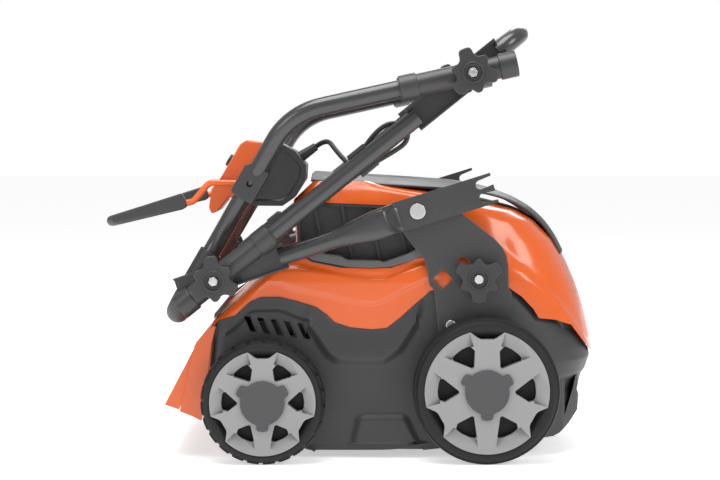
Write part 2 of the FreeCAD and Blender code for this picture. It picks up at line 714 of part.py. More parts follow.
bolt_room = size("bolt_radius") + size("run_clearance")
bar_metal = bar_tube.fuse(bar_trough).cut(cross_hole(elbow, bolt_room))
bar_right = fuse("lower_bar_right_whole", notched_plate, feature("bar_tube", bar_metal))
keep("lower_bar_right", bar_right)
keep("lower_bar_left", mirrored("lower_bar_left_copy", bar_right))

# Middle frame: two legs, a trough near each top bolt, and one cross tube.
leg_y = at.middle_tube_y
tail_y = leg_y - 10
leg_low = elbow - middle_along * 40
leg_high = top - middle_along * (size("sleeve_front") - 8)
middle_leg = tube([on_right(leg_low, leg_y), on_right(leg_high, leg_y)], [])
middle_trough = trough(top, middle_along, -size("sleeve_front"), 54, leg_y)
side_metal = middle_leg.fuse(middle_trough).cut(cross_hole(top, bolt_room))
corner = top + middle_along * 88
tail_start = top + middle_along * 48
cross_tube = tube([on_right(tail_start, tail_y), on_right(corner, tail_y),
                   on_right(corner, -tail_y), on_right(tail_start, -tail_y)], [38, 38])
frame_metal = cross_tube.fuse([side_metal, flip(side_metal)])
frame_metal = frame_metal.cut(cross_hole(elbow, size("bolt_radius")))
keep("middle_frame", feature("middle_frame_metal", frame_metal))


def sleeve(joint, along, across):
    """A plastic end sleeve round a tube, drilled for its clamp bolt."""
    start = on_right(joint - along * size("sleeve_tail"), across)
    length = size("sleeve_tail") + size("sleeve_front")
    outer = Part.makeCylinder(at.sleeve_radius, length, start, along)
    bore_start = on_right(joint - along * 40, across)
    outer = outer.cut(Part.makeCylinder(tube_radius, length, bore_start, along))
    return outer.cut(cross_hole(joint, size("bolt_radius")))


keep("middle_sleeves", both_sides("middle_sleeve_pair", feature(
    "middle_sleeve", sleeve(elbow, middle_along, leg_y))))

# Upper frame: legs outside the middle frame, bent, then drawn in to the grip.
upper_y = at.upper_tube_y
end_half = size("handle_end_half")
DRAW_IN = 200
narrow = bend + end_along * DRAW_IN
half_path = [on_right(top - upper_along * 40, upper_y), on_right(bend, upper_y),
             on_right(narrow, end_half), on_right(handle_end, end_half)]
full_path = half_path + [Vector(p.x, -p.y, p.z) for p in reversed(half_path)]
UPPER_RADII = [95, 90, 45, 45, 90, 95]
upper_metal = tube(full_path, UPPER_RADII).cut(cross_hole(top, size("bolt_radius")))
keep("upper_frame", feature("upper_frame_metal", upper_metal))
keep("upper_sleeves", both_sides("upper_sleeve_pair", feature(
    "upper_sleeve", sleeve(top, upper_along, upper_y))))
grip_start = bend + end_along * (DRAW_IN + 20)
grip_path = rounded_path([on_right(grip_start, end_half), on_right(handle_end, end_half),
                          on_right(handle_end, -end_half), on_right(grip_start, -end_half)],
                         [45, 45])
grip = pipe_along(grip_path, tube_radius + size("grip_wall"))
keep("handle_grip", feature("foam_grip", grip.cut(pipe_along(grip_path, tube_radius))))


def fold_bolt(name, joint_x, joint_z, inner_y, outer_y):
    """A clamp bolt with its head inside and its lock nut at the knob's face."""
    head = rod(name + "_head", joint_x, joint_z, f"-({inner_y})", f"-({inner_y} - 4)",
               "bolt_radius + 2.5")
    shank = rod(name + "_shank", joint_x, joint_z, f"-({outer_y})", f"-({inner_y})",
                "bolt_radius")
    return both_sides(name, fuse(name + "_right", head, shank))


keep("elbow_bolts", fold_bolt("elbow_bolt", "elbow_x", "elbow_z", "lower_tube_y - 9",
                              "elbow_knob_y + knob_thick"))
keep("top_bolts", fold_bolt("top_bolt", "top_x", "top_z", "middle_tube_y - 9",
                            "top_knob_y + knob_thick"))


def knob_outline(centre, first_lobe):
    """Three broad lobes and three small ones round a clamp knob."""
    broad = size("knob_radius")
    shape = [(-14, broad - 2), (-8, broad), (8, broad), (14, broad - 2), (26, 23), (35, 22.5),
             (48, 26), (60, 28), (72, 26), (85, 22.5), (94, 23)]
    points = []
    for lobe in range(3):
        for angle, distance in shape:
            corner = centre + towards(first_lobe + 120 * lobe + angle, distance)
            points.append((corner.x, corner.z))
    return points


def knob(name, centre, first_lobe, inner_y, hole):
    """A moulded star knob with a recessed middle, turning on its bolt."""
    star = slab(name + "_star", knob_outline(centre, first_lobe),
                f"-({inner_y} + knob_thick - 2)", f"-({inner_y} + 6)")
    boss = rod(name + "_boss", centre.x, centre.z, f"-({inner_y} + 6)", f"-({inner_y})", "15")
    recess = rod(name + "_recess", centre.x, centre.z, f"-({inner_y} + knob_thick)",
                 f"-({inner_y} + knob_thick - 6)", "12")
    bore = rod(name + "_bore", centre.x, centre.z, "-far_side", "0", hole)
    return cut(name + "_whole", fuse(name + "_solid", star, boss), recess, bore)


stud = Vector(at.stud_x, 0, at.stud_z)
KNOBS = {
    "elbow_knob": (elbow, 97, "elbow_knob_y", "bolt_radius + run_clearance"),
    "top_knob": (top, 111, "top_knob_y", "bolt_radius + run_clearance"),
    "lock_knob": (stud, 30, "lock_knob_y", "stud_radius + run_clearance"),
}
for name, (centre, first_lobe, inner_y, hole) in KNOBS.items():
    shape = knob(name, centre, first_lobe, inner_y, hole)
    keep(name + "_right", shape)
    keep(name + "_left", mirrored(name + "_left_copy", shape))
stud_bar = fuse("lock_stud",
                rod("stud_shank", "stud_x", "stud_z", "-(lock_knob_y + knob_thick)",
                    "-(bracket_y - 3)", "stud_radius"),
                rod("stud_head", "stud_x", "stud_z", "-(bracket_y - 0.3)",
                    "-(bracket_y - 3)", "stud_radius + 4"))
keep("lock_stud_right", stud_bar)
keep("lock_stud_left", mirrored("lock_stud_left_copy", stud_bar))

# --------------------------------------------------- console, blocks and bail
end_aside = towards(size("upper_end_angle") - 90)


def beside_leg(along, above):
    """A place in the upper leg's own plane: down the leg, and out above it."""
    point = bend + end_along * along + end_aside * above
    return (point.x, point.z)


BLOCK_AT = 110
BLOCK_INNER = 202
bail_x, bail_z = beside_leg(BLOCK_AT, 0)
block_body = slab("clamp_block_body", [beside_leg(*place) for place in (
    (BLOCK_AT - 25, -15), (BLOCK_AT + 22, -15), (BLOCK_AT + 22, 17), (BLOCK_AT - 25, 17))],
    "-(upper_tube_y - 18)", f"-{BLOCK_INNER}")
bail_pin = rod("bail_pin", bail_x, bail_z, f"-{BLOCK_INNER}", f"-({BLOCK_INNER} - 11)",
               "bolt_radius")
pin_mouth = rod("block_hole", bail_x, bail_z, "-far_side", "-(upper_tube_y - 22)", "bolt_radius")
leg_start = on_right(bend, upper_y)
leg_line = on_right(narrow, end_half) - leg_start
leg_room = feature("leg_room", Part.makeCylinder(tube_radius, leg_line.Length, leg_start,
                                                 leg_line))
block = cut("clamp_block_cut", fuse("clamp_block_solid", block_body, bail_pin), leg_room,
            pin_mouth)
keep("clamp_blocks", both_sides("clamp_block_pair", block))

# Console: a box under the right leg's line with a cover over it, both hollow.
CONSOLE_INNER = 92
BOX_SIDE = [(44, -10), (42, -32), (50, -52), (68, -61), (98, -60), (115, -52), (133, -20),
            (133, -10)]
BOX_HOLLOW = [(47, 10), (47, -11), (45, -32), (52, -49), (69, -58), (97, -57), (113, -50),
              (130, -19), (130, 10)]
COVER_SIDE = [(44, -10), (60, 22), (64, 37), (75, 41), (125, 41), (145, 43), (173, 31),
              (175, 23), (143, 20), (133, -10)]
COVER_HOLLOW = [(49, -20), (49, -10), (63, 20), (67, 34), (76, 38), (125, 38), (139, 38),
                (139, 21), (129, -10), (129, -20)]
box = slab("console_box_blank", [beside_leg(*place) for place in BOX_SIDE],
           f"-{BLOCK_INNER}", f"-{CONSOLE_INNER}")
box_hollow = slab("console_box_hollow", [beside_leg(*place) for place in BOX_HOLLOW],
                  f"-({BLOCK_INNER} - 3)", f"-({CONSOLE_INNER} + 3)")
keep("console_box", cut("console_box_cut", box, box_hollow))
cover = slab("console_cover_blank", [beside_leg(*place) for place in COVER_SIDE],
             f"-({BLOCK_INNER} - 17)", f"-{CONSOLE_INNER}")
cover_hollow = slab("console_cover_hollow", [beside_leg(*place) for place in COVER_HOLLOW],
                    f"-({BLOCK_INNER} - 20)", f"-({CONSOLE_INNER} + 3)")
BUTTON_AT = 100
button_y = (BLOCK_INNER - 17 + CONSOLE_INNER) / 2
button_foot = bend + end_along * BUTTON_AT + end_aside * 34
button_foot.y = -button_y
button_hole = Part.makeCylinder(size("button_radius") + 0.4, 20, button_foot, end_aside)
keep("console_cover", cut("console_cover_cut", cover, cover_hollow,
                          feature("button_hole", button_hole)))
keep("start_button", feature("start_button_stub", Part.makeCylinder(
    size("button_radius"), 13, button_foot, end_aside)))

# Bail: one bent rod hung on the blocks' pins, with a plastic sleeve on its loop.
bail_pivot = Vector(bail_x, 0, bail_z)
BAIL_EYE_Y = BLOCK_INNER - 5
BAIL_ROUTE = [(8, 0, BAIL_EYE_Y), (58, 1, BAIL_EYE_Y), (80, -25, BAIL_EYE_Y - 6),
              (196, -53, BAIL_EYE_Y - 12)]
bail_half = [Vector(bail_x - back, -across, bail_z + rise) for back, rise, across in BAIL_ROUTE]
bail_path = bail_half + [Vector(p.x, -p.y, p.z) for p in reversed(bail_half)]
bail_bar = pipe_along(rounded_path(bail_path, [14, 14, 22, 22, 14, 14]),
                      size("bail_rod_radius"))
eye = Part.makeCylinder(8, 8, Vector(bail_x, -(BAIL_EYE_Y + 4), bail_z), Vector(0, 1, 0))
bail = bail_bar.fuse([eye, flip(eye)]).cut(cross_hole(bail_pivot, bolt_room))
keep("bail_rod", feature("bail_rod_metal", bail))
sleeve_from = bail_half[2] + (bail_half[3] - bail_half[2]).normalize() * 16
sleeve_points = [sleeve_from, bail_half[3]]
sleeve_points = sleeve_points + [Vector(p.x, -p.y, p.z) for p in reversed(sleeve_points)]
sleeve_path = rounded_path(sleeve_points, [22, 22])
bail_cover = pipe_along(sleeve_path, size("bail_rod_radius") + 3)
bail_cover = bail_cover.cut(pipe_along(sleeve_path, size("bail_rod_radius")))
keep("bail_grip", feature("bail_grip_plastic", bail_cover))

# ------------------------------------------------------------------- cable
cable_radius = size("cable_radius")


def cord(name, points):
    """A cable along its route, each arc as large as its two runs allow."""
    route = [Vector(*point) for point in points]
    radii = []
    for before, corner, after in zip(route, route[1:], route[2:]):
        shorter = min((corner - before).Length, (after - corner).Length)
        half_turn = (corner - before).getAngle(after - corner) / 2
        radii.append(0.45 * shorter / math.tan(half_turn))
    path = rounded_path(route, radii)
    solid = pipe_along(path, cable_radius)
    expected = math.pi * cable_radius ** 2 * path.Length
    print(name, "length", round(path.Length, 1), "radii", [round(r) for r in radii],
          "volume ratio", round(solid.Volume / expected, 4))
    return feature(name, solid)


CLIP_ALONG = 258
clip_centre = elbow + middle_along * CLIP_ALONG
clip_aside = Vector(-middle_along.z, 0, middle_along.x)
clip_corners = [clip_centre + middle_along * a + clip_aside * b
                for a, b in ((-14.5, -18), (14.5, -18), (14.5, 18), (-14.5, 18))]
clip_body = slab("clip_body", [(c.x, c.z) for c in clip_corners], "-middle_tube_y",
                 "-(middle_tube_y - tube_radius - 13)")
clip_bore = feature("clip_bore", Part.makeCylinder(
    tube_radius, 120, on_right(clip_centre - middle_along * 60, leg_y), middle_along))
keep("cable_clip", cut("cable_clip_cut", clip_body, clip_bore))

boot_foot = Vector(-76, -150, 417)
boot_along = towards(34)
boot = Part.makeCone(8, 5.5, 30, boot_foot - boot_along * 4, boot_along)
keep("strain_relief", feature("strain_relief_boot", boot))
boot_tip = boot_foot + boot_along * 26
cable_y = -(leg_y - 20)
clip_in = clip_centre - middle_along * 18 + clip_aside * 8
clip_out = clip_centre - middle_along * 14.5 - clip_aside * 10
loop_out = clip_centre + middle_along * 14.5 + clip_aside * 13
loop_back = clip_centre + middle_along * 14.5 - clip_aside * 13
keep("cable_upper", cord("cable_upper_run", [
    (boot_tip.x, -150, boot_tip.z), (-39, -160, 443), (-26, -186, 426), (-14, -208, 413),
    (clip_in.x, cable_y, clip_in.z)]))
lower_run = cord("cable_lower_run", [
    (clip_out.x, cable_y, clip_out.z), (-22, cable_y, 374), (-42, -212, 368),
    (-42, -189, 368)])
slack_loop = cord("cable_slack_loop", [
    (loop_out.x, cable_y, loop_out.z), (28, cable_y, 452), (51, cable_y, 466),
    (72, cable_y, 457), (72, cable_y, 438), (52, cable_y, 424),
    (loop_back.x, cable_y, loop_back.z)])
keep("cable_lower", group("cable_lower_pair", lower_run, slack_loop))
keep("cable_gland", rod("cable_gland_body", -42, 368, -187, -164, "cable_radius + 3"))

# ------------------------------------------------------------------ output
doc.recompute()
for item in doc.Objects:
    if "Invalid" in item.State or "Error" in item.State:
        raise RuntimeError(f"{item.Name} did not build: {item.State}")
os.makedirs("parts", exist_ok=True)
for node, item in SUBPARTS.items():
    shape = item.Shape
    if shape.isNull() or not shape.isValid() or not shape.Solids:
        raise RuntimeError(f"{node} has no valid solid")
    shape.exportStep(f"parts/{node}.step")
print(len(SUBPARTS), "sub-parts written")
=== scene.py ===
"""Walk-behind lawn scarifier, folded for storage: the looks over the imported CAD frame."""
import math
import bpy
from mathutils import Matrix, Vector


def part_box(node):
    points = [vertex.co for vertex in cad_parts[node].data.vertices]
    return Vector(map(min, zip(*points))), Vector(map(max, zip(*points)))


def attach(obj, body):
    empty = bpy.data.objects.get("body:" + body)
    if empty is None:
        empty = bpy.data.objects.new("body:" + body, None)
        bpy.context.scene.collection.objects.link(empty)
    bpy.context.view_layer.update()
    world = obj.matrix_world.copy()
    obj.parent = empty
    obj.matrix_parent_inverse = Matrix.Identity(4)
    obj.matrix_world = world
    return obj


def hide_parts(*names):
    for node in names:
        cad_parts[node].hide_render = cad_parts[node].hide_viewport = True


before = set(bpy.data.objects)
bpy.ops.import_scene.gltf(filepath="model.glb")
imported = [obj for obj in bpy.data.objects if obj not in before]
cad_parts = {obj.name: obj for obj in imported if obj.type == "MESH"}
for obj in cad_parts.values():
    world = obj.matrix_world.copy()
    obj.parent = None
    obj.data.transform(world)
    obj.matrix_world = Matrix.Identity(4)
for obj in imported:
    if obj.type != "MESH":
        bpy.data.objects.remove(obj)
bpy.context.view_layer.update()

# ---------------------------------------------------------------- camera
# A long lens a little above the axle line looks square at the machine's
# right side, so the far half of the handle shows between the near tubes.
bpy.ops.object.select_all(action="DESELECT")
bpy.ops.object.camera_add(location=(0.007, -2.8, 0.4446),
                          rotation=(math.radians(86.88), 0, 0))
camera = bpy.context.object
camera.name = "camera"
camera.data.lens = 94.45
camera.data.sensor_width = 36.0
bpy.context.scene.camera = camera

# ---------------------------------------------------------------- studio
# A plain pale floor that fades into a white surround, a broad soft box above
# and three weaker ones around, which give the glossy plastics their edges.
bpy.context.scene.view_settings.view_transform = "Standard"
bpy.ops.mesh.primitive_plane_add(size=30, location=(0, 4, 0))
floor = bpy.context.object
floor.name = "floor"
paper = bpy.data.materials.new("white_paper")
paper.use_nodes = True
paper_look = paper.node_tree.nodes["Principled BSDF"].inputs
paper_look["Base Color"].default_value = (0.92, 0.92, 0.92, 1)
paper_look["Roughness"].default_value = 0.9
paper_look["Emission Color"].default_value = (1, 1, 1, 1)
paper_look["Emission Strength"].default_value = 0.50
floor.data.materials.append(paper)

world = bpy.data.worlds.new("surround")
bpy.context.scene.world = world
world.use_nodes = True
surround, join = world.node_tree.nodes, world.node_tree.links.new
glow = surround["Background"]
glow.inputs["Color"].default_value = (1, 1, 1, 1)
glow.inputs["Strength"].default_value = 0.5
backdrop = surround.new("ShaderNodeBackground")
backdrop.inputs["Color"].default_value = (1, 1, 1, 1)
seen = surround.new("ShaderNodeLightPath")
either = surround.new("ShaderNodeMixShader")
join(seen.outputs["Is Camera Ray"], either.inputs["Fac"])
join(glow.outputs[0], either.inputs[1])
join(backdrop.outputs[0], either.inputs[2])
join(either.outputs[0], surround["World Output"].inputs[0])

SOFT_BOXES = (("top_box", (-0.3, -0.5, 2.4), 1.6, 52), ("front_box", (1.9, -1.6, 1.5), 1.0, 20),
              ("left_box", (-1.9, -1.7, 1.3), 1.0, 12), ("back_box", (0.6, 2.2, 1.9), 1.3, 24))
for name, place, width, watts in SOFT_BOXES:
    bpy.ops.object.light_add(type="AREA", location=place)
    lamp = bpy.context.object
    lamp.name = name
    lamp.data.size = width
    lamp.data.energy = watts
    aim = Vector((0, 0, 0.25)) - Vector(place)
    lamp.rotation_euler = aim.to_track_quat("-Z", "Y").to_euler()

# ---------------------------------------------------------------- control cable
# A thin black sheathed cable: it leaves the switch box in a rubber strain
# relief, loops past the clip on the middle tube, and drops into the housing.
CABLE_RADIUS = 0.0035
EDGE_STARTS, EDGE_FULL = 0.53, 0.64       # pointiness where an edge begins to rub
RUBBED_GREY = (0.40, 0.39, 0.38, 1)


def make_grain():
    """Colour and roughness drift, worn edges, and a fine height, over any moulded surface."""
    group = bpy.data.node_groups.new("surface_grain", "ShaderNodeTree")
    sockets = group.interface
    for label, kind in (("Color", "NodeSocketColor"), ("Drift", "NodeSocketFloat"),
                        ("Grain Scale", "NodeSocketFloat"), ("Roughness", "NodeSocketFloat"),
                        ("Wear", "NodeSocketFloat")):
        sockets.new_socket(label, in_out="INPUT", socket_type=kind)
    for label, kind in (("Color", "NodeSocketColor"), ("Roughness", "NodeSocketFloat"),
                        ("Height", "NodeSocketFloat")):
        sockets.new_socket(label, in_out="OUTPUT", socket_type=kind)
    nodes, links = group.nodes, group.links
    given = nodes.new("NodeGroupInput")
    result = nodes.new("NodeGroupOutput")
    place = nodes.new("ShaderNodeTexCoord")
    broad = nodes.new("ShaderNodeTexNoise")
    broad.inputs["Scale"].default_value = 14
    broad.inputs["Detail"].default_value = 4
    fine = nodes.new("ShaderNodeTexNoise")
    fine.inputs["Detail"].default_value = 3
    links.new(place.outputs["Object"], broad.inputs["Vector"])
    links.new(place.outputs["Object"], fine.inputs["Vector"])
    links.new(given.outputs["Grain Scale"], fine.inputs["Scale"])
    drift = nodes.new("ShaderNodeMath")
    drift.operation = "MULTIPLY"
    centred = nodes.new("ShaderNodeMath")
    centred.operation = "SUBTRACT"
    centred.inputs[1].default_value = 0.5
    links.new(broad.outputs["Fac"], centred.inputs[0])
    links.new(centred.outputs[0], drift.inputs[0])
    links.new(given.outputs["Drift"], drift.inputs[1])
    level = nodes.new("ShaderNodeMath")
    level.inputs[1].default_value = 1.0
    links.new(drift.outputs[0], level.inputs[0])
    shade = nodes.new("ShaderNodeVectorMath")
    shade.operation = "SCALE"
    links.new(given.outputs["Color"], shade.inputs[0])
    links.new(level.outputs[0], shade.inputs["Scale"])
    geometry = nodes.new("ShaderNodeNewGeometry")
    edge = nodes.new("ShaderNodeMapRange")
    edge.inputs["From Min"].default_value = EDGE_STARTS
    edge.inputs["From Max"].default_value = EDGE_FULL
    links.new(geometry.outputs["Pointiness"], edge.inputs["Value"])
    worn = nodes.new("ShaderNodeMath")
    worn.operation = "MULTIPLY"
    links.new(edge.outputs[0], worn.inputs[0])
    links.new(given.outputs["Wear"], worn.inputs[1])
    rubbed = nodes.new("ShaderNodeMix")
    rubbed.data_type = "RGBA"
    rubbed.inputs[7].default_value = RUBBED_GREY
    links.new(worn.outputs[0], rubbed.inputs[0])
    links.new(shade.outputs[0], rubbed.inputs[6])
    links.new(rubbed.outputs[2], result.inputs["Color"])
    rough = nodes.new("ShaderNodeMath")
    links.new(given.outputs["Roughness"], rough.inputs[0])
    links.new(drift.outputs[0], rough.inputs[1])
    links.new(rough.outputs[0], result.inputs["Roughness"])
    links.new(fine.outputs["Fac"], result.inputs["Height"])
    return group


surface_grain = make_grain()


def finish(name, color, roughness, drift=0.12, grain=900, bump=0.1, wear=0.1, metallic=0.0,
           coat=0.0, specular=0.5):
    """A moulded or painted finish with its own grain, drift and edge wear."""
    material = bpy.data.materials.new(name)
    material.use_nodes = True
    nodes, links = material.node_tree.nodes, material.node_tree.links
    shader = nodes["Principled BSDF"]
    shader.inputs["Metallic"].default_value = metallic
    shader.inputs["Coat Weight"].default_value = coat
    shader.inputs["Coat Roughness"].default_value = 0.1
    shader.inputs["Specular IOR Level"].default_value = specular
    surface = nodes.new("ShaderNodeGroup")
    surface.node_tree = surface_grain
    surface.inputs["Color"].default_value = (*color, 1)
    surface.inputs["Drift"].default_value = drift
    surface.inputs["Grain Scale"].default_value = grain
    surface.inputs["Roughness"].default_value = roughness
    surface.inputs["Wear"].default_value = wear
    links.new(surface.outputs["Color"], shader.inputs["Base Color"])
    links.new(surface.outputs["Roughness"], shader.inputs["Roughness"])
    relief = nodes.new("ShaderNodeBump")
    relief.inputs["Strength"].default_value = bump
    relief.inputs["Distance"].default_value = 0.0005
    links.new(surface.outputs["Height"], relief.inputs["Height"])
    links.new(relief.outputs["Normal"], shader.inputs["Normal"])
    return material


def dress(material, *nodes):
    """Give CAD nodes their finish."""
    for name in nodes:
        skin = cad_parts[name].data.materials
        skin.clear()
        skin.append(material)


def round_edges(width, *nodes, angle=25, segments=2):
    """Round the edges of CAD nodes with live modifiers, which leave their vertices alone."""
    for name in nodes:
        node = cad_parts[name]
        node.data.shade_smooth()
        node.modifiers.new("join", "WELD").merge_threshold = 0.00002
        flats = node.modifiers.new("flats", "DECIMATE")
        flats.decimate_type = "DISSOLVE"
        flats.angle_limit = math.radians(0.5)
        edge = node.modifiers.new("edge", "BEVEL")
        edge.width = width
        edge.segments = segments
        edge.limit_method = "ANGLE"
        edge.angle_limit = math.radians(angle)
        edge.miter_outer = "MITER_ARC"
        node.modifiers.new("shading", "WEIGHTED_NORMAL").keep_sharp = True


cable_rubber = finish("cable_rubber", (0.016, 0.016, 0.017), 0.42, grain=1500, bump=0.2,
                      wear=0.0)


def cable(name, route, body, node):
    """One run of the cable: a smooth line over its route points, held at both ends."""
    line = bpy.data.curves.new(name, "CURVE")
    line.dimensions = "3D"
    line.bevel_depth = CABLE_RADIUS
    line.bevel_resolution = 5
    line.use_fill_caps = True
    spline = line.splines.new("NURBS")
    spline.points.add(len(route) - 1)
    for point, place in zip(spline.points, route):
        point.co = (*place, 1)
    spline.order_u = 3
    spline.use_endpoint_u = True
    spline.resolution_u = 12
    piece = bpy.data.objects.new(name, line)
    bpy.context.collection.objects.link(piece)
    line.materials.append(cable_rubber)
    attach(piece, body)
    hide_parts(node)
    return piece


cable_out = cable("switch_cable", [
    (-0.0544, -0.150, 0.4315), (-0.039, -0.160, 0.443), (-0.026, -0.186, 0.426),
    (-0.014, -0.208, 0.413), (-0.0081, -0.2195, 0.4078)], "upper_handle", "cable_upper")
cable_down = cable("housing_cable", [
    (0.0059, -0.2195, 0.3959), (-0.022, -0.2195, 0.374), (-0.042, -0.212, 0.368),
    (-0.042, -0.189, 0.368)], "middle_handle", "cable_lower")
cable_slack = cable("slack_cable", [
    (0.0141, -0.2195, 0.4320), (0.028, -0.2195, 0.452), (0.051, -0.2195, 0.466),
    (0.072, -0.2195, 0.457), (0.072, -0.2195, 0.438), (0.052, -0.2195, 0.424),
    (0.0304, -0.2195, 0.4118)], "middle_handle", "cable_lower")
dress(cable_rubber, "strain_relief")
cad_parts["strain_relief"].data.shade_smooth()

# ---------------------------------------------------------------- wheels
# Each wheel is a black rubber tyre with a blocky tread round a black web, a
# grey moulded rim with six spokes clipped over it, and a three-lobed hub cap.
WHEEL_INNER, WHEEL_OUTER = 0.216, 0.264
TREAD_STEPS = 96
WHEELS = {"front": {"radius": 0.100, "rim": 0.0846, "inner": 0.038, "arc": 0.0664,
                    "notch": 0.0724},
          "rear": {"radius": 0.085, "rim": 0.072, "inner": 0.0345, "arc": 0.0560,
                   "notch": 0.0610}}


def polar(radius, degrees):
    """A point in a wheel's own plane."""
    turn = math.radians(degrees)
    return (radius * math.cos(turn), radius * math.sin(turn))


def face_outward():
    """Turn the active piece's faces outward."""
    bpy.ops.object.mode_set(mode="EDIT")
    bpy.ops.mesh.select_all(action="SELECT")
    bpy.ops.mesh.normals_make_consistent(inside=False)
    bpy.ops.object.mode_set(mode="OBJECT")


def blank(name, outline, low_y, high_y):
    """A flat blank cut to an outline in the X-Z plane and made thick along Y."""
    bpy.ops.object.select_all(action="DESELECT")
    bpy.ops.mesh.primitive_circle_add(vertices=len(outline), fill_type="NGON")
    piece = bpy.context.object
    piece.name = name
    for vertex, (x, z) in zip(piece.data.vertices, outline):
        vertex.co = (x, low_y, z)
    bpy.ops.object.mode_set(mode="EDIT")
    bpy.ops.mesh.select_all(action="SELECT")
    bpy.ops.mesh.extrude_region_move(TRANSFORM_OT_translate={"value": (0, high_y - low_y, 0)})
    face_outward()
    return piece


def turned(name, profile, x, z, steps):
    """A closed (radius, y) profile spun about an axle through (x, z)."""
    bpy.ops.object.select_all(action="DESELECT")
    bpy.ops.mesh.primitive_circle_add(vertices=len(profile), fill_type="NOTHING")
    piece = bpy.context.object
    piece.name = name
    for vertex, (radius, y) in zip(piece.data.vertices, profile):
        vertex.co = (x + radius, y, z)
    bpy.ops.object.mode_set(mode="EDIT")
    bpy.ops.mesh.select_all(action="SELECT")
    bpy.ops.mesh.spin(steps=steps, angle=math.tau, center=(x, 0, z), axis=(0, 1, 0))
    bpy.ops.mesh.select_all(action="SELECT")
    bpy.ops.mesh.remove_doubles(threshold=0.00001)
    face_outward()
    return piece


def modify(piece, kind, **settings):
    """Add one modifier to a piece and apply it."""
    bpy.ops.object.select_all(action="DESELECT")
    piece.select_set(True)
    bpy.context.view_layer.objects.active = piece
    step = piece.modifiers.new("step", kind)
    for name, value in settings.items():
        setattr(step, name, value)
    bpy.ops.object.modifier_apply(modifier="step")
    return piece


def carve(piece, *tools, operation="DIFFERENCE"):
    """Cut tools out of a piece, or join them to it; the tools are used up."""
    for tool in tools:
        modify(piece, "BOOLEAN", object=tool, operation=operation, solver="EXACT")
        bpy.data.objects.remove(tool)
    return piece


def ease(piece, width, angle=25, segments=2):
    """Break a piece's edges and set its shading."""
    modify(piece, "BEVEL", width=width, segments=segments, limit_method="ANGLE",
           angle_limit=math.radians(angle), use_clamp_overlap=True)
    bpy.ops.object.shade_smooth_by_angle(angle=math.radians(angle + 5))
    modify(piece, "WEIGHTED_NORMAL", keep_sharp=True)
    return piece


def moved(piece, step):
    """Shift a piece's mesh."""
    for vertex in piece.data.vertices:
        vertex.co = vertex.co + Vector(step)
    return piece


def other_side(piece, name):
    """A copy of a piece, with its own mesh, mirrored to the machine's left side."""
    bpy.ops.object.select_all(action="DESELECT")
    piece.select_set(True)
    bpy.context.view_layer.objects.active = piece
    bpy.ops.object.duplicate()
    copy = bpy.context.object
    copy.name = name
    copy.scale.y = -1
    bpy.ops.object.transform_apply(location=False, rotation=False, scale=True)
    face_outward()
    return copy


def settle(piece, material, body, slot, *replaced):
    """Give a piece its finish and body, and hide the CAD nodes that it stands for; the slot is not used.
    """
    piece.data.materials.clear()
    piece.data.materials.append(material)
    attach(piece, body)
    if replaced:
        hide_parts(*replaced)


def settle_pair(piece, material, body, slot, *replaced):
    """Settle a right-hand piece, and its mirrored copy, on the same body."""
    copy = other_side(piece, piece.name.replace("right", "left"))
    settle(copy, material, body, slot, *replaced)
    settle(piece, material, body, slot, *replaced)


def inset_faces(piece, picked, *steps):
    """Inset the faces that a test picks, once for each (thickness, depth)."""
    bpy.ops.object.mode_set(mode="EDIT")
    bpy.ops.mesh.select_all(action="DESELECT")
    bpy.ops.object.mode_set(mode="OBJECT")
    for face in piece.data.polygons:
        face.select = picked(face)
    bpy.ops.object.mode_set(mode="EDIT")
    for thickness, depth in steps:
        bpy.ops.mesh.inset(thickness=thickness, depth=depth)
    bpy.ops.object.mode_set(mode="OBJECT")


def tyre(name, radius, rim, x, z):
    """A tyre with two rows of blocks, each three steps long and one apart, on a black web."""
    low, high = -WHEEL_OUTER, -WHEEL_INNER
    base, groove = radius - 0.0022, low + 0.024
    profile = [(rim - 0.004, low + 0.004), (rim + 0.002, low + 0.0012),
               (radius - 0.010, low + 0.0006), (radius - 0.006, low + 0.002),
               (base - 0.0012, low + 0.006), (base, low + 0.010), (base, low + 0.022),
               (base - 0.001, low + 0.024), (base, low + 0.026), (base, high - 0.010),
               (base - 0.0012, high - 0.006), (radius - 0.010, high - 0.0006),
               (rim - 0.004, high - 0.004), (rim - 0.012, low + 0.030), (0.016, low + 0.034),
               (0.008, low + 0.034), (0.008, low + 0.020), (0.020, low + 0.020),
               (rim - 0.016, low + 0.020)]
    piece = turned(name, profile, x, z, TREAD_STEPS)
    blocks = []
    for face in piece.data.polygons:
        across = face.center - Vector((x, 0, z))
        reach = math.hypot(across.x, across.z)
        turn = math.degrees(math.atan2(across.z, across.x)) % 360
        outer_row = face.center.y < groove - 0.0005
        step = int(turn / (360 / TREAD_STEPS)) + (0 if outer_row else 2)
        blocks.append(reach > base - 0.0016 and step % 4 < 3
                      and abs(face.center.y - groove) > 0.0018)
    for vertex in piece.data.vertices:
        vertex.select = False
    for edge in piece.data.edges:
        edge.select = False
    for face, block in zip(piece.data.polygons, blocks):
        face.select = block
    bpy.ops.object.mode_set(mode="EDIT")
    bpy.ops.mesh.select_mode(type="FACE")
    bpy.ops.mesh.extrude_region_shrink_fatten(
        TRANSFORM_OT_shrink_fatten={"value": 0.0020})
    bpy.ops.object.mode_set(mode="OBJECT")
    for vertex in piece.data.vertices:
        out = Vector((vertex.co.x - x, 0, vertex.co.z - z))
        if out.length > radius - 0.0001:
            vertex.co -= out * (1 - (radius - 0.0001) / out.length)
    return ease(piece, 0.0004, angle=30, segments=1)


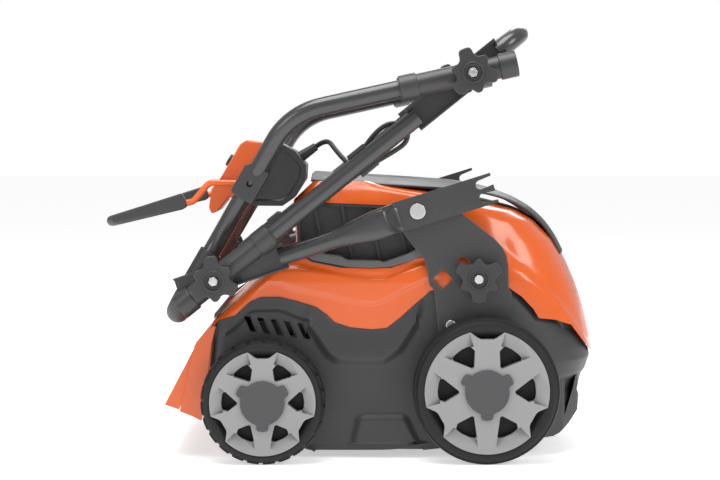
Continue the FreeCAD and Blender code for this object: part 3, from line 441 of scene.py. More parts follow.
def rim_outline(rim, notch):
    """The rim's edge: an arc broken by three notches with sloping shoulders."""
    points = []
    for middle in (90, 210, 330):
        for offset, radius in ((-15.8, rim), (-9.5, notch + 0.002), (-6.5, notch),
                               (6.5, notch), (9.5, notch + 0.002), (15.8, rim)):
            points.append(polar(radius, middle + offset))
        points += [polar(rim, middle + 15.8 + 88.4 * step / 24) for step in range(1, 24)]
    return points


def window_outline(inner, arc, mirror):
    """A spoke window, cut back at the corner that is nearest a notch."""
    corners = [(inner, -2.5), (inner, 2.5), (arc - 0.0035, 17.5), (arc - 0.0008, 15.5),
               (arc, 10), (arc + 0.0004, 0), (arc, -7.5), (arc - 0.0015, -10.5),
               (arc - 0.008, -13.5)]
    return [(radius, -angle if mirror else angle) for radius, angle in corners]


def pocket(inner, arc, rim, middle, mirror):
    """The sloping floor between two spokes, from the rim's edge down to the window."""
    side = -1 if mirror else 1
    outer = [(rim - 0.0090, 20.5), (rim - 0.0045, 12), (rim - 0.0015, 2), (rim - 0.0006, -13.5)]
    lower = [(arc - 0.0012, -13.5), (arc, 0), (arc - 0.0012, 18)]
    points = [(radius, side * angle, 0.0) for radius, angle in outer]
    points += [(radius, side * angle, 0.0085) for radius, angle in lower]
    tool = blank("pocket", [polar(radius, middle + angle) for radius, angle, _ in points],
                 -WHEEL_OUTER - 0.004, -WHEEL_OUTER)
    count = len(points)
    ends = sorted(range(2 * count), key=lambda index: tool.data.vertices[index].co.y)
    for index in ends[count:]:
        vertex = tool.data.vertices[index]
        nearest = min(points, key=lambda point: (
            Vector((vertex.co.x, vertex.co.z))
            - Vector(polar(point[0], middle + point[1]))).length)
        vertex.co.y = -WHEEL_OUTER + 0.0007 + nearest[2]
    return tool


def rim_face(name, sizes, x, z):
    """The rim: a thick plate with notches, sloping pockets and six windows."""
    piece = blank(name, rim_outline(sizes["rim"], sizes["notch"]),
                  -WHEEL_OUTER + 0.0006, -WHEEL_OUTER + 0.014)
    for spoke in range(6):
        mirror = spoke % 2 == 1
        middle = spoke * 60
        hole = [polar(radius, middle + angle) for radius, angle
                in window_outline(sizes["inner"], sizes["arc"], mirror)]
        carve(piece, pocket(sizes["inner"], sizes["arc"], sizes["rim"], middle, mirror),
              blank("window", hole, -WHEEL_OUTER - 0.01, -WHEEL_OUTER + 0.03))
    ease(piece, 0.0007, angle=18, segments=2)
    return moved(piece, (x, 0, z))


def hub_cap(name, x, z):
    """A moulded cap: a lobed disc on the rim's face with a shallow dish in it."""
    points = []
    for middle in (30, 150, 270):
        for offset, radius in ((-17, 0.0302), (-14.5, 0.0325), (-12.5, 0.0362), (-9, 0.0380),
                               (0, 0.0384), (9, 0.0380), (12.5, 0.0362), (14.5, 0.0325),
                               (17, 0.0302)):
            points.append(polar(radius, middle + offset))
        points += [polar(0.0300, middle + 17 + 86 * step / 16) for step in range(1, 16)]
    piece = blank(name, points, -WHEEL_OUTER - 0.003, -WHEEL_OUTER + 0.010)
    inset_faces(piece, lambda face: face.normal.y < -0.9, (0.0022, 0), (0.0012, -0.0008))
    ease(piece, 0.0006, angle=18)
    return moved(piece, (x, 0, z))


tyre_rubber = finish("tyre_rubber", (0.008, 0.008, 0.0085), 0.60, grain=700, bump=0.35, wear=0.02,
                     specular=0.35)
rim_moulding = finish("rim_moulding", (0.25, 0.25, 0.255), 0.45, drift=0.08, bump=0.15, wear=0.0)
cap_moulding = finish("cap_moulding", (0.052, 0.052, 0.055), 0.50, bump=0.2, wear=0.06)
for end, sizes in WHEELS.items():
    low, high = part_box(f"{end}_right_tyre")
    x, z = (low[0] + high[0]) / 2, (low[2] + high[2]) / 2
    parts = {"tyre": (tyre(f"{end}_right_tyre_tread", sizes["radius"], sizes["rim"], x, z),
                      tyre_rubber, "tyre_rubber"),
             "rim": (rim_face(f"{end}_right_rim_face", sizes, x, z), rim_moulding, "rim_plastic"),
             "hub_cap": (hub_cap(f"{end}_right_lobed_cap", x, z), cap_moulding, "dark_plastic")}
    for part, (piece, material, slot) in parts.items():
        copy = other_side(piece, piece.name.replace("right", "left"))
        settle(piece, material, f"{end}_right_wheel", slot, f"{end}_right_{part}")
        settle(copy, material, f"{end}_left_wheel", slot, f"{end}_left_{part}")

# ---------------------------------------------------------------- hood
# The orange glossy shell: one moulding, rounded in plan at the front, leaning in
# above the flanks, with pressed creases below the side recess and at the nose.


def along(line, value):
    """The height of a line of (x, z) points at a given x, level beyond its ends."""
    if value <= line[0][0]:
        return line[0][1]
    for (x0, z0), (x1, z1) in zip(line, line[1:]):
        if value <= x1:
            return z0 + (z1 - z0) * (value - x0) / (x1 - x0)
    return line[-1][1]


def step_up(value, low, high):
    """A smooth step from 0 at low to 1 at high."""
    share = min(1.0, max(0.0, (value - low) / (high - low)))
    return share * share * (3 - 2 * share)


WALL = 0.003
TAIL_CORNER = 14
NOSE_ROUND = 2 / 3.3
SIDE_STEPS, NOSE_STEPS = 90, 44
NOSE = [(140, 345), (159, 343), (202, 332), (221, 326), (235, 321), (262, 309), (282, 299),
        (300, 288), (326, 262), (342, 235), (350, 205), (363, 149), (374, 89), (384, 20)]
TAIL = [(140, -190), (171, -206), (192, -195), (251, -130), (283, -90), (300, -82),
        (357, -86), (381, -60), (384, -58)]
LEAN = [(140, 200.5), (245, 200.5), (258, 199), (270, 194.5), (354, 173), (370, 165), (384, 157)]
LIP_EDGE = [(-81, 275), (-27, 263), (-4, 259), (20, 258), (40, 259), (80, 272)]
UPPER_CREASE = [(-83, 263), (-23, 253), (20, 247), (41, 247), (95, 268)]
LOWER_CREASE = [(-104, 245), (-83, 237), (-19, 223), (12, 217), (28, 216), (41, 221), (62, 233),
                (102, 252)]
NOSE_HIGH_CREASE = [(205, 296), (215, 285), (248, 259), (283, 230), (314, 190), (340, 150)]
NOSE_LOW_CREASE = [(205, 277), (214, 267), (247, 241), (282, 214), (317, 169), (345, 130)]
SKIRT = [(350, 120), (347, 130), (320, 160), (303, 182), (279, 191), (255, 194), (247, 207),
         (231, 224), (211, 238), (104, 233), (89, 219), (62, 195), (44, 181), (23, 179),
         (-7, 182), (-28, 189), (-38, 199), (-53, 210), (-79, 218), (-104, 224), (-130, 224),
         (-145, 218), (-165, 199), (-188, 192), (-210, 168)]


def crease_depth(x, z):
    """How far the hood's side is pressed in at a place, in millimetres."""
    if x < 150:
        fade = step_up(x, -150, -110) * (1 - step_up(x, 96, 130))
        upper = along(UPPER_CREASE, x)
        lower = along(LOWER_CREASE, x)
        above = step_up(z, upper - 1, upper + 5)
        proud_again = step_up(z, upper + 7, along(LIP_EDGE, x) + 5)
        below = 1 - step_up(z, lower - 3.5, lower)
        return fade * (3.2 * above - 1.6 * proud_again + 2.0 * below)
    high = along(NOSE_HIGH_CREASE, x)
    low = along(NOSE_LOW_CREASE, x)
    return 6.5 * step_up(z, low, high) * step_up(x, 175, 215)


def metres(line):
    """A line of (x, z) points in metres."""
    return [(x / 1000, z / 1000) for x, z in line]


def thicken(skin, out_by, thickness):
    """Face an open sheet outward, which is where out_by sums above 0, and back it inward."""
    face_outward()
    if sum(out_by(face) for face in skin.data.polygons) < 0:
        bpy.ops.object.mode_set(mode="EDIT")
        bpy.ops.mesh.select_all(action="SELECT")
        bpy.ops.mesh.flip_normals()
        bpy.ops.object.mode_set(mode="OBJECT")
    return modify(skin, "SOLIDIFY", thickness=thickness, offset=-1)


def shell(name, tables, press, low, high, rows):
    """A moulded skin laid up in level rings, from a nose, a tail and a half-width table."""
    nose_line, tail_line, half_line = tables
    heights = [low + (high - low) * row / (rows - 1) for row in range(rows)]
    rings = []
    for z in heights:
        nose, tail, half = along(nose_line, z), along(tail_line, z), along(half_line, z)
        start = max(tail + 60, min(165, nose - 90))
        ring = [(tail, -half * 0.92 * step / 8) for step in range(9)]
        for step in range(1, 5):
            turn = math.radians(22.5 * step)
            ring.append((tail + TAIL_CORNER * (1 - math.cos(turn)),
                         -half * (0.92 + 0.08 * math.sin(turn))))
        for step in range(1, SIDE_STEPS + 1):
            x = tail + TAIL_CORNER + (start - tail - TAIL_CORNER) * step / SIDE_STEPS
            ring.append((x, -half + press(x, z)))
        for step in range(1, NOSE_STEPS + 1):
            turn = math.radians(90 * step / NOSE_STEPS)
            x = start + (nose - start) * math.sin(turn) ** NOSE_ROUND
            y = -half * max(0.0, math.cos(turn)) ** NOSE_ROUND
            depth = press(x, z) * step_up(-y, 30, 120)
            ring.append((x - depth * math.sin(turn) * 0.6,
                         min(0.0, y + depth * max(0.0, math.cos(turn)) ** 0.5)))
        rings.append(ring)
    bpy.ops.object.select_all(action="DESELECT")
    bpy.ops.mesh.primitive_grid_add(x_subdivisions=len(rings[0]) - 1, y_subdivisions=rows - 1,
                                    size=1)
    skin = bpy.context.object
    skin.name = name
    for number, vertex in enumerate(skin.data.vertices):
        row, column = divmod(number, len(rings[0]))
        x, y = rings[row][column]
        vertex.co = (x / 1000, y / 1000, heights[row] / 1000)
    modify(skin, "MIRROR", use_axis=(False, True, False), merge_threshold=0.0005)
    bpy.ops.object.mode_set(mode="EDIT")
    bpy.ops.mesh.select_all(action="SELECT")
    bpy.ops.mesh.remove_doubles(threshold=0.0001)
    return thicken(skin, lambda face: face.normal.y * face.center.y, WALL)


THROUGH = (-0.25, 0.25)
hood_shell = shell("hood_shell", (NOSE, TAIL, LEAN), crease_depth, 138, 383, 100)
carve(hood_shell, blank("skirt_side", metres(SKIRT + [(-212, 400), (360, 400)]), *THROUGH),
      operation="INTERSECT")
WINDOW = [(-79, 284), (-81, 346), (-72, 352), (-40, 353), (40, 350), (104, 343), (112, 336),
          (112, 300), (98, 284), (80, 274), (50, 264.5), (20, 263.5), (-19, 264.5), (-60, 272)]
carve(hood_shell, blank("window", metres(WINDOW), *THROUGH))
ease(hood_shell, 0.0006, angle=40)
orange_gloss = finish("orange_gloss", (0.66, 0.100, 0.008), 0.26, drift=0.05, grain=1400,
                      bump=0.03, wear=0.0, coat=0.35)
settle(hood_shell, orange_gloss, "chassis", "orange_plastic", "hood")

# ---------------------------------------------------------------- rear wings and flap
# The hood's two orange wings stand behind the rear wheels and carry a rod, on
# which the flap swings: a ribbed orange moulding with a turned-in lower edge.
WING = [(-203, 180), (-212, 170), (-222, 157), (-243, 65), (-225, 58), (-213, 52), (-205, 80),
        (-202, 129), (-198, 160), (-192, 184)]
wing = blank("wing_right", metres(WING), -0.2005, -0.1975)
ease(wing, 0.0007)
settle_pair(wing, orange_gloss, "chassis", "orange_plastic")
dress(orange_gloss, "rear_flap")
round_edges(0.0008, "rear_flap")

# ---------------------------------------------------------------- lower housing
# The dark grained tub that carries the axles and the rotor: a shoulder overhangs
# its flanks, with cooling slots over the rear wheel and a raised bearing boss.
TUB_NOSE = [(10, 98), (26, 283), (30, 292), (43, 308), (59, 321), (72, 325.5), (80, 325),
            (89, 321), (103, 327), (114, 335), (132, 341), (148, 338), (165, 332), (185, 319),
            (235, 262), (252, 216)]
TUB_TAIL = [(10, -68), (60, -192), (129, -201), (160, -198), (200, -195), (236, -141), (252, -60)]
TUB_HALF = [(10, 198), (250, 198.4)]
SHOULDER = [(-66, 193), (-53, 173), (-38, 150), (-25, 141), (3, 139), (39, 139), (62, 155),
            (84, 190), (96, 232)]
ARCH_RIM = [(-200, 160), (-166, 183), (-143, 207), (-104, 208), (-66, 193)]
BOSS_LEFT = [(11, -10), (52, 0), (61, 11)]
BOSS_RIGHT = [(11, 92), (24, 90), (59, 73), (61, 70)]
SILL = 20


def flank_depth(x, z):
    """How far the tub's side stands out (negative) at a place, in millimetres."""
    out = 0.0
    if -66 <= x <= 96:
        edge = along(SHOULDER, x)
        lip = step_up(z, edge - 13, edge)
        out += lip * (2.0 + 4.5 * (1 - step_up(z, edge, edge + 42))) * step_up(96 - x, 0, 14)
    elif x < -66:
        edge = along(ARCH_RIM, x)
        out += step_up(z, edge - 5, edge) * 3.4 * step_up(x, -200, -186)
    left = step_up(x - along(BOSS_LEFT, z), 0, 8)
    right = step_up(along(BOSS_RIGHT, z) - x, 0, 8)
    out += 6.0 * left * right * (1 - step_up(z, 54, 62)) * step_up(z, SILL - 3, SILL)
    out -= 3.0 * (1 - step_up(z, SILL - 4, SILL)) * step_up(x, -90, -60)
    nose = step_up(x, 250, 275)
    out -= nose * 5.0 * (step_up(z, 60, 70) * (1 - step_up(z, 100, 112)))
    return -out


tub_shell = shell("housing_shell", (TUB_NOSE, TUB_TAIL, TUB_HALF), flank_depth, 10.5, 251, 110)
bpy.ops.object.select_all(action="DESELECT")
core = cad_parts["lower_housing"].copy()
core.data = core.data.copy()
core.name = "housing_core"
bpy.context.collection.objects.link(core)
for vertex in core.data.vertices:
    x, y, z = vertex.co
    forward = min(1.0, max(0.0, (x - 0.18) / 0.12))
    if x > 0.2:
        x = 0.2 + (x - 0.2) * (0.90 if z > 0.16 else 0.94)
    vertex.co = (x, y * (0.972 - 0.10 * forward), z)
core.select_set(True)
bpy.context.view_layer.objects.active = core
bpy.ops.object.mode_set(mode="EDIT")
bpy.ops.mesh.select_all(action="SELECT")
bpy.ops.mesh.remove_doubles(threshold=0.00002)
bpy.ops.object.mode_set(mode="OBJECT")
for vent in range(5):
    x, z = -154 + 18.5 * vent, 198 - 2.5 * vent
    carve(tub_shell, blank("vent", metres([(x, z), (x + 9.5, z - 0.5), (x + 19, z - 23),
                                           (x + 9.5, z - 22)]), *THROUGH))
carve(tub_shell, blank("skirt_room", metres([(x, z - 0.4) for x, z in SKIRT]
                                           + [(-230, 400), (380, 400)]), *THROUGH))
ease(tub_shell, 0.0005, angle=50)
dark_moulding = finish("dark_moulding", (0.032, 0.032, 0.034), 0.48, bump=0.3, wear=0.05)
settle(tub_shell, dark_moulding, "chassis", "dark_plastic", "lower_housing")
settle(core, dark_moulding, "chassis", "dark_plastic")

# ---------------------------------------------------------------- handle brackets
# A pressed steel plate on each flank, folded along two creases for stiffness, with a locking slot and a
# square hole; the holes of its pivot and screws are not cut.
PIVOT = (0.086, 0.343)
PLATE = 0.0024
SLOT_HALF = 0.0063
SLOT_REACH = (0.093, 0.124)
CREASE_DEEP = 1.5
NEAR_SIDE = (-0.25, -0.15)
BRACKET = [(64, 338), (70, 357), (86, 365), (104, 359), (148, 339), (192, 305), (203, 293),
           (209, 281), (211, 270), (212, 237), (216, 231), (214, 170), (116, 170),
           (109, 234), (103, 241), (98, 269), (94, 279), (87, 286), (67, 312)]


def disc(name, x, z, radius, low_y, high_y, sides=40):
    """A round blank along Y."""
    return blank(name, [(x + radius * math.cos(math.tau * side / sides),
                         z + radius * math.sin(math.tau * side / sides))
                        for side in range(sides)], low_y, high_y)


def crease_side(x, z, x0, z0, x1, z1):
    """Signed distance of a place from a crease, in millimetres, positive to its right."""
    length = math.hypot(x1 - x0, z1 - z0)
    return ((x - x0) * (z1 - z0) - (z - z0) * (x1 - x0)) / length


bpy.ops.object.select_all(action="DESELECT")
bpy.ops.mesh.primitive_grid_add(x_subdivisions=104, y_subdivisions=132, size=1)
bracket = bpy.context.object
bracket.name = "bracket_plate_right"
for number, vertex in enumerate(bracket.data.vertices):
    row, column = divmod(number, 105)
    x, z = 62 + 1.5 * column, 168 + 1.5 * row
    upper = crease_side(x, z, 120, 342, 195, 272)
    lower = crease_side(x, z, 80, 318, 122, 262) if z > 240 else 20
    depth = CREASE_DEEP * (step_up(upper, -1.2, 1.2) + 1 - step_up(lower, -1.2, 1.2))
    vertex.co = (x / 1000, -0.2068 + min(CREASE_DEEP, depth) / 1000, z / 1000)
thicken(bracket, lambda face: -face.normal.y, PLATE)
carve(bracket, blank("bracket_edge", metres(BRACKET), *NEAR_SIDE), operation="INTERSECT")
slot_dir = Vector((math.cos(math.radians(-48)), math.sin(math.radians(-48))))
slot_side = Vector((-slot_dir.y, slot_dir.x)) * SLOT_HALF
slot_ends = [Vector(PIVOT) + slot_dir * reach for reach in SLOT_REACH]
slot_line = [(end + slot_side * side).to_tuple() for end, side in
             ((slot_ends[0], -1), (slot_ends[1], -1), (slot_ends[1], 1), (slot_ends[0], 1))]
carve(bracket, blank("slot", slot_line, *NEAR_SIDE),
      disc("slot_end", *slot_ends[0], SLOT_HALF, *NEAR_SIDE),
      disc("slot_end", *slot_ends[1], SLOT_HALF, *NEAR_SIDE),
      blank("square_hole", metres([(121, 235), (135, 249), (121, 263), (107, 249)]), *NEAR_SIDE))
ease(bracket, 0.0005, angle=40)
bracket_paint = finish("bracket_paint", (0.036, 0.036, 0.038), 0.42, grain=2600, bump=0.12,
                       wear=0.05)
settle_pair(bracket, bracket_paint, "chassis", "grey_painted_steel", "handle_brackets")

# ---------------------------------------------------------------- lower bars
# Each lower bar is a painted steel tube, pressed flat towards the pivot into a
# notched plate; a crescent is stamped where the round part ends.
BAR_WAY = Vector((math.cos(math.radians(198.4)), math.sin(math.radians(198.4))))
BAR_RADIUS = 12.7
BAR_ROUND, BAR_FLAT = 0.140, 0.026
BAR_SIDES, BAR_ROWS = 48, 65
handle_paint = finish("handle_paint", (0.034, 0.034, 0.036), 0.27, grain=2200, bump=0.05,
                      wear=0.03, coat=0.25)
dress(handle_paint, "lower_bar_right", "lower_bar_left")
round_edges(0.0008, "lower_bar_right", "lower_bar_left", angle=30)
bpy.ops.object.select_all(action="DESELECT")
bpy.ops.mesh.primitive_grid_add(x_subdivisions=BAR_SIDES - 1, y_subdivisions=BAR_ROWS, size=1)
flattening = bpy.context.object
flattening.name = "bar_flattening_right"
for number, vertex in enumerate(flattening.data.vertices):
    row, column = divmod(number, BAR_SIDES)
    away = BAR_ROUND + (BAR_FLAT - BAR_ROUND) * row / BAR_ROWS
    press = 1 - step_up(away, 0.050, 0.130)
    thin = 1 - step_up(away, 0.024, 0.048)
    turn = math.tau * column / BAR_SIDES
    high = (BAR_RADIUS + 8.3 * press) * math.copysign(abs(math.sin(turn)) ** (1 - 0.45 * press),
                                                     math.sin(turn))
    deep = (BAR_RADIUS - 9.0 * thin) * math.copysign(abs(math.cos(turn)) ** (1 - 0.5 * press),
                                                     math.cos(turn))
    centre = Vector(PIVOT) + BAR_WAY * away
    stamp = 0.0
    if math.cos(turn) < 0:
        from_arc = math.hypot(away * 1000 - 22, high) - 19
        stamp = 1.6 * math.exp(-(from_arc / 2.4) ** 2) * thin ** 0.5
    vertex.co = (centre.x - BAR_WAY.y * high / 1000,
                 -(0.2210 - 0.0095 * thin) + (deep + stamp) / 1000,
                 centre.y + BAR_WAY.x * high / 1000)
bpy.ops.object.mode_set(mode="EDIT")
bpy.ops.mesh.select_all(action="SELECT")
bpy.ops.mesh.remove_doubles(threshold=0.00002)
bpy.ops.mesh.select_all(action="DESELECT")
bpy.ops.mesh.select_mode(type="EDGE")
bpy.ops.mesh.select_non_manifold(extend=False, use_wire=False, use_boundary=True,
                                 use_multi_face=False, use_non_contiguous=False,
                                 use_verts=False)
bpy.ops.mesh.edge_face_add()
face_outward()
bpy.ops.object.shade_smooth_by_angle(angle=math.radians(40))
settle_pair(flattening, handle_paint, "lower_handle", "grey_painted_steel")
bright_steel = finish("bright_steel", (0.62, 0.62, 0.63), 0.28, grain=1800, bump=0.06, wear=0.0,
                      metallic=1.0)
dress(bright_steel, "bracket_rivets", "bracket_screws")
round_edges(0.0012, "bracket_rivets", "bracket_screws", angle=30, segments=3)

# ---------------------------------------------------------------- clamp knobs
# Six moulded star knobs, three broad lobes and three small, each with a ring
# round its sunk middle and a plated lock nut on the bolt's end.
knob_moulding = finish("knob_moulding", (0.026, 0.026, 0.028), 0.46, bump=0.25, wear=0.10)
nut_steel = finish("nut_steel", (0.55, 0.55, 0.56), 0.3, grain=1500, bump=0.1, wear=0.0,
                   metallic=1.0)
KNOB_SHAPE = [(-17, 30.5), (-13.5, 33), (-9, 34), (0, 34), (9, 34), (13.5, 33), (17, 30.5),
              (21, 26.5), (26, 23.8), (33, 22.6), (41, 23.2), (47, 25), (52, 27), (56, 27.8),
              (60, 28), (64, 27.8), (68, 27), (73, 25), (79, 23.2), (87, 22.6), (94, 23.8),
              (99, 26.5)]
ELBOW_BOLT, TOP_BOLT, LOCK_STUD = (-0.19012, 0.25115), (0.15668, 0.52998), (0.16897, 0.25085)
KNOBS = {"elbow_knob": (97, ELBOW_BOLT), "top_knob": (111, TOP_BOLT),
         "lock_knob": (30, LOCK_STUD)}
for knob, (first_lobe, bolt) in KNOBS.items():
    low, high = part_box(f"{knob}_right")
    face, back = low[1], high[1]
    outline = [polar(radius / 1000, first_lobe + 120 * lobe + angle)
               for lobe in range(3) for angle, radius in KNOB_SHAPE]
    star = blank(f"{knob}_star_right", outline, face + 0.002, face + 0.016)
    carve(star, disc("bore", 0, 0, 0.0128, face - 0.01, face + 0.006))
    ease(star, 0.0016, angle=35, segments=3)
    moved(star, (bolt[0], 0, bolt[1]))
    ring = turned(f"{knob}_ring_right",
                  [(0.0070, face + 0.006), (0.0150, face + 0.006), (0.0150, face + 0.0012),
                   (0.0145, face + 0.0004), (0.0134, face), (0.0124, face + 0.0006),
                   (0.0120, face + 0.0035), (0.0080, face + 0.0042), (0.0070, face + 0.0035)], *bolt, 48)
    ease(ring, 0.0003, angle=50, segments=1)
    boss = turned(f"{knob}_boss_right",
                  [(0.0066, face + 0.013), (0.0150, face + 0.013), (0.0150, back - 0.0012),
                   (0.0140, back - 0.0004), (0.0066, back - 0.0004)], *bolt, 48)
    ease(boss, 0.0003, angle=50, segments=1)
    nut = blank(f"{knob}_nut_right", [polar(0.0067, 15 + 60 * side) for side in range(6)],
                face - 0.0006, face + 0.006)
    ease(nut, 0.0008, angle=40, segments=2)
    moved(nut, (bolt[0], 0, bolt[1]))
    for piece, material, slot in ((star, knob_moulding, "knob_plastic"),
                                  (ring, knob_moulding, "knob_plastic"),
                                  (boss, knob_moulding, "knob_plastic"),
                                  (nut, nut_steel, "bright_steel")):
        copy = other_side(piece, piece.name.replace("right", "left"))
        for one, side in ((piece, "right"), (copy, "left")):
            settle(one, material, f"{knob}_{side}", slot,
                   *((f"{knob}_{side}",) if piece is star else ()))

# ---------------------------------------------------------------- top cover
# A dark lid moulding over the hood's crest, narrower towards the nose; its
# edges are rolled down on to the orange shell, and its tail overhangs.
LID_TOP = [(-66, 394), (23, 389), (73, 386), (130, 382), (158, 379), (204, 369), (238, 354),
           (262, 337), (281, 316), (295, 292), (302, 276)]
lengths = [0.0]
for (x0, z0), (x1, z1) in zip(LID_TOP, LID_TOP[1:]):
    lengths.append(lengths[-1] + math.hypot(x1 - x0, z1 - z0))
LID_COLUMNS, LID_ROWS = 90, 40
bpy.ops.object.select_all(action="DESELECT")
bpy.ops.mesh.primitive_grid_add(x_subdivisions=LID_COLUMNS, y_subdivisions=LID_ROWS, size=1)
lid = bpy.context.object
lid.name = "lid"


def lid_point(distance):
    """A place on the lid's middle line, from its distance along it."""
    xs = [(run, point[0]) for run, point in zip(lengths, LID_TOP)]
    zs = [(run, point[1]) for run, point in zip(lengths, LID_TOP)]
    spread = (-16, -8, 0, 8, 16)
    return Vector((sum(along(xs, distance + step) for step in spread) / 5,
                   sum(along(zs, distance + step) for step in spread) / 5))


for number, vertex in enumerate(lid.data.vertices):
    row, column = divmod(number, LID_COLUMNS + 1)
    distance = lengths[-1] * column / LID_COLUMNS
    place = lid_point(distance)
    way = (lid_point(distance + 4) - lid_point(distance - 4)).normalized()
    down = Vector((way.y, -way.x))
    share = 2 * row / LID_ROWS - 1
    half = 150 - 52 * step_up(distance, 120, 360)
    rolled = math.copysign(1 - (1 - abs(share)) ** 1.5, share)
    drop = 0.5 + 7 * abs(rolled) ** 8 - 3 * step_up(distance, 150, 330) * abs(rolled) ** 2
    rebate = 1.6 * step_up(abs(rolled), 0.70, 0.73)
    place = place + down * (drop + rebate)
    vertex.co = (place.x / 1000, rolled * half / 1000, place.y / 1000)
thicken(lid, lambda face: face.normal.z, WALL)
ease(lid, 0.0007, angle=50)
lid_moulding = finish("lid_moulding", (0.045, 0.045, 0.047), 0.44, bump=0.2, wear=0.03,
                      specular=0.4)
settle(lid, lid_moulding, "chassis", "dark_plastic", "top_cover")

# ---------------------------------------------------------------- side dishes
# A dark ribbed dish in each flank serves as a lifting grip; a paler grey lip
# runs along its lower edge, clipped into the hood's opening.
dress(dark_moulding, "side_panels")
round_edges(0.0012, "side_panels", angle=30)
LIP_UPPER = [(-70, 293), (-39, 283), (-21, 281), (-10, 275), (32, 274), (40, 272), (72, 283),
             (90, 292), (104, 303)]
LIP_LOWER = [(112, 299), (99, 284.5), (81, 275), (51, 266), (19, 264), (-12, 266), (-58, 275),
             (-79, 286)]
lip = blank("dish_lip_right", metres(LIP_UPPER + LIP_LOWER), -0.2002, -0.1800)
ease(lip, 0.0016, angle=30, segments=3)
lip_moulding = finish("lip_moulding", (0.085, 0.085, 0.088), 0.42, bump=0.2, wear=0.03)
settle_pair(lip, lip_moulding, "chassis", "dark_plastic")

# ---------------------------------------------------------------- handle tubes
# Steel tubes in dark gloss paint; plastic sleeves with a collar close their
# ends where the parts fold past each other, held by carriage bolts.
dress(handle_paint, "middle_frame", "upper_frame")
round_edges(0.0006, "middle_frame", "upper_frame", angle=30)
sleeve_moulding = finish("sleeve_moulding", (0.030, 0.030, 0.032), 0.40, bump=0.15, wear=0.05)
dress(sleeve_moulding, "middle_sleeves", "upper_sleeves")
round_edges(0.0010, "middle_sleeves", "upper_sleeves", angle=30)
dress(bright_steel, "elbow_bolts", "top_bolts", "lock_stud_right", "lock_stud_left")
round_edges(0.0006, "elbow_bolts", "top_bolts", "lock_stud_right", "lock_stud_left", angle=30)
COLLARS = (("elbow", ELBOW_BOLT, 38.8, 0.2395, "middle_handle"),
           ("top", TOP_BOLT, 192.5, 0.2580, "upper_handle"))
for name, middle, angle, across, body in COLLARS:
    for number, away in enumerate((0.086, -0.050)):
        collar = turned(f"{name}_collar_{number + 1}_right",
                        [(0.0150, -0.012), (0.0172, -0.012), (0.0178, -0.0108),
                         (0.0178, 0.0108), (0.0172, 0.012), (0.0150, 0.012)], 0, 0, 40)
        ease(collar, 0.0003, angle=40, segments=1)
        turn = math.radians(angle)
        for vertex in collar.data.vertices:
            x, y, z = vertex.co
            run, side = away + y, x
            vertex.co = (middle[0] + run * math.cos(turn) - side * math.sin(turn),
                         -across + z,
                         middle[1] + run * math.sin(turn) + side * math.cos(turn))
        face_outward()
        settle_pair(collar, sleeve_moulding, body, "dark_plastic")
grip_foam = finish("grip_foam", (0.022, 0.022, 0.023), 0.5, grain=1000, bump=0.4, wear=0.0)
dress(grip_foam, "handle_grip")
round_edges(0.0012, "handle_grip", angle=30)
dress(sleeve_moulding, "cable_clip", "cable_gland")
round_edges(0.0012, "cable_clip", "cable_gland", angle=30)

# ---------------------------------------------------------------- switch console
# A dark rounded switch box under the right leg with an orange cover that comes
# down past the leg; a clamp block on each leg carries the bail's pin.
BEND = Vector((-0.0874, 0.4759))
LEG_WAY = Vector((math.cos(math.radians(239.7)), math.sin(math.radians(239.7))))
LEG_OUT = Vector((math.cos(math.radians(149.7)), math.sin(math.radians(149.7))))


def by_leg(places):
    """Places given along the leg and out from it, in millimetres, as (x, z)."""
    return [(BEND + LEG_WAY * run / 1000 + LEG_OUT * out / 1000).to_tuple()
            for run, out in places]


box_moulding = finish("box_moulding", (0.022, 0.022, 0.024), 0.30, bump=0.08, wear=0.03)
box = blank("switch_box", by_leg([(42, -8), (41, -30), (50, -53), (68, -62), (98, -61),
                                  (115, -53), (134, -20), (134, -8)]), -0.2015, -0.092)
inset_faces(box, lambda face: abs(face.normal.y) > 0.9, (0.007, 0), (0.002, -0.0016))
ease(box, 0.0030, angle=30, segments=4)
settle(box, box_moulding, "upper_handle", "dark_plastic", "console_box")
cover = blank("switch_cover", by_leg([(43, -9), (58, 24), (62, 36), (72, 41), (124, 41),
                                      (145, 44), (170, 34), (175, 27), (168, 21), (143, 18),
                                      (133, -9)]), -0.1855, -0.092)
inset_faces(cover, lambda face: abs(face.normal.y) > 0.9, (0.004, -0.0012))
ease(cover, 0.0025, angle=30, segments=3)
settle(cover, orange_gloss, "upper_handle", "orange_plastic", "console_cover")
dress(knob_moulding, "start_button")
round_edges(0.0012, "start_button", angle=30, segments=3)
block = blank("clamp_block_right", by_leg([(85, -16), (132, -16), (133, -12), (133, 14),
                                           (129, 18), (90, 18), (84, 12), (84, -12)]),
              -0.2403, -0.2022)
pin_x, pin_z = (BEND + LEG_WAY * 0.110).to_tuple()
carve(block, disc("pin_hole", pin_x, pin_z, 0.0042, -0.26, -0.2320))
ease(block, 0.0016, angle=30, segments=3)
settle_pair(block, sleeve_moulding, "upper_handle", "dark_plastic", "clamp_blocks")

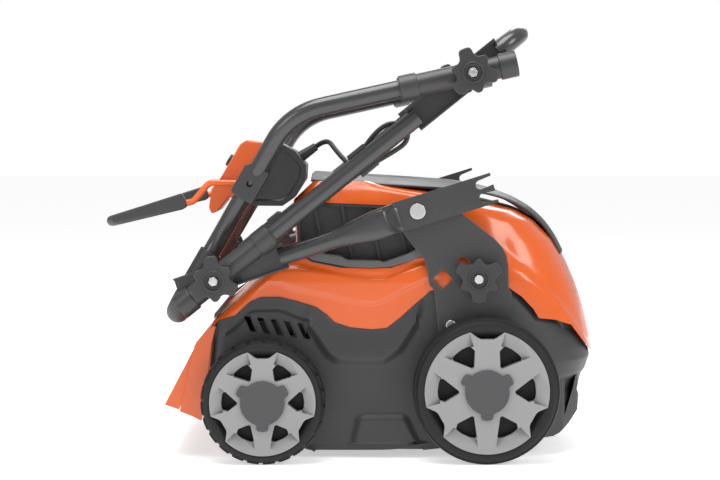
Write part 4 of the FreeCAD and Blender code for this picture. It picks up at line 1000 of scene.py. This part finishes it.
# ---------------------------------------------------------------- bail
# The operator's bail: one bent orange rod hung on the blocks' pins, with a dark
# wedge-shaped plastic sleeve over each arm of its loop.
orange_paint = finish("orange_paint", (0.66, 0.105, 0.010), 0.30, grain=2200, bump=0.05,
                      wear=0.05, coat=0.2)
dress(orange_paint, "bail_rod")
round_edges(0.0006, "bail_rod", angle=30)
dress(sleeve_moulding, "bail_grip")
round_edges(0.0010, "bail_grip", angle=30)
WEDGE_LONG, WEDGE_SPLAY = 0.116, 0.0055
BAIL_PIN = Vector((-0.14289, 0.38090))
bail_start = BAIL_PIN + Vector((-0.082, -0.0255))
bail_way = (BAIL_PIN + Vector((-0.196, -0.053)) - bail_start).normalized()
bail_side = Vector((-bail_way.y, bail_way.x))
wedge = blank("bail_wedge_right",
              [(bail_start + bail_way * run / 1000 + bail_side * out / 1000).to_tuple()
               for run, out in ((8, -4), (11, -15), (113, -7.5), (116, -2), (113, 4.5),
                                (12, 7.0), (8, 4))], -0.1985, -0.1795)
ease(wedge, 0.0035, angle=30, segments=3)
for vertex in wedge.data.vertices:
    share = (Vector((vertex.co.x, vertex.co.z)) - bail_start).dot(bail_way) / WEDGE_LONG
    vertex.co.y += WEDGE_SPLAY * share
settle_pair(wedge, sleeve_moulding, "bail", "knob_plastic")

# ---------------------------------------------------------------- drive train
# Under the tub: a steel rotor with sprung blades and spacers in two bearings,
# driven over a rubber belt by a cast motor with its own fan.
alloy = finish("cast_alloy", (0.42, 0.42, 0.43), 0.5, grain=500, bump=0.4, wear=0.0,
               metallic=0.9)
SHAFTS = ("wheel_axles", "rotor_shaft", "knife_spacers", "shaft_bearings", "motor_shaft",
          "flap_hinge_rod")
CASTINGS = ("motor_housing", "motor_pulley", "rotor_pulley")
dress(bright_steel, *SHAFTS)
blade_steel = finish("blade_steel", (0.38, 0.37, 0.36), 0.38, drift=0.3, grain=900, bump=0.25,
                     wear=0.0, metallic=1.0)
dress(blade_steel, "knives")
dress(alloy, *CASTINGS)
dress(cable_rubber, "drive_belt")
dress(dark_moulding, "cooling_fan")
round_edges(0.0004, *SHAFTS, "knives", *CASTINGS, "drive_belt", "cooling_fan", angle=30)
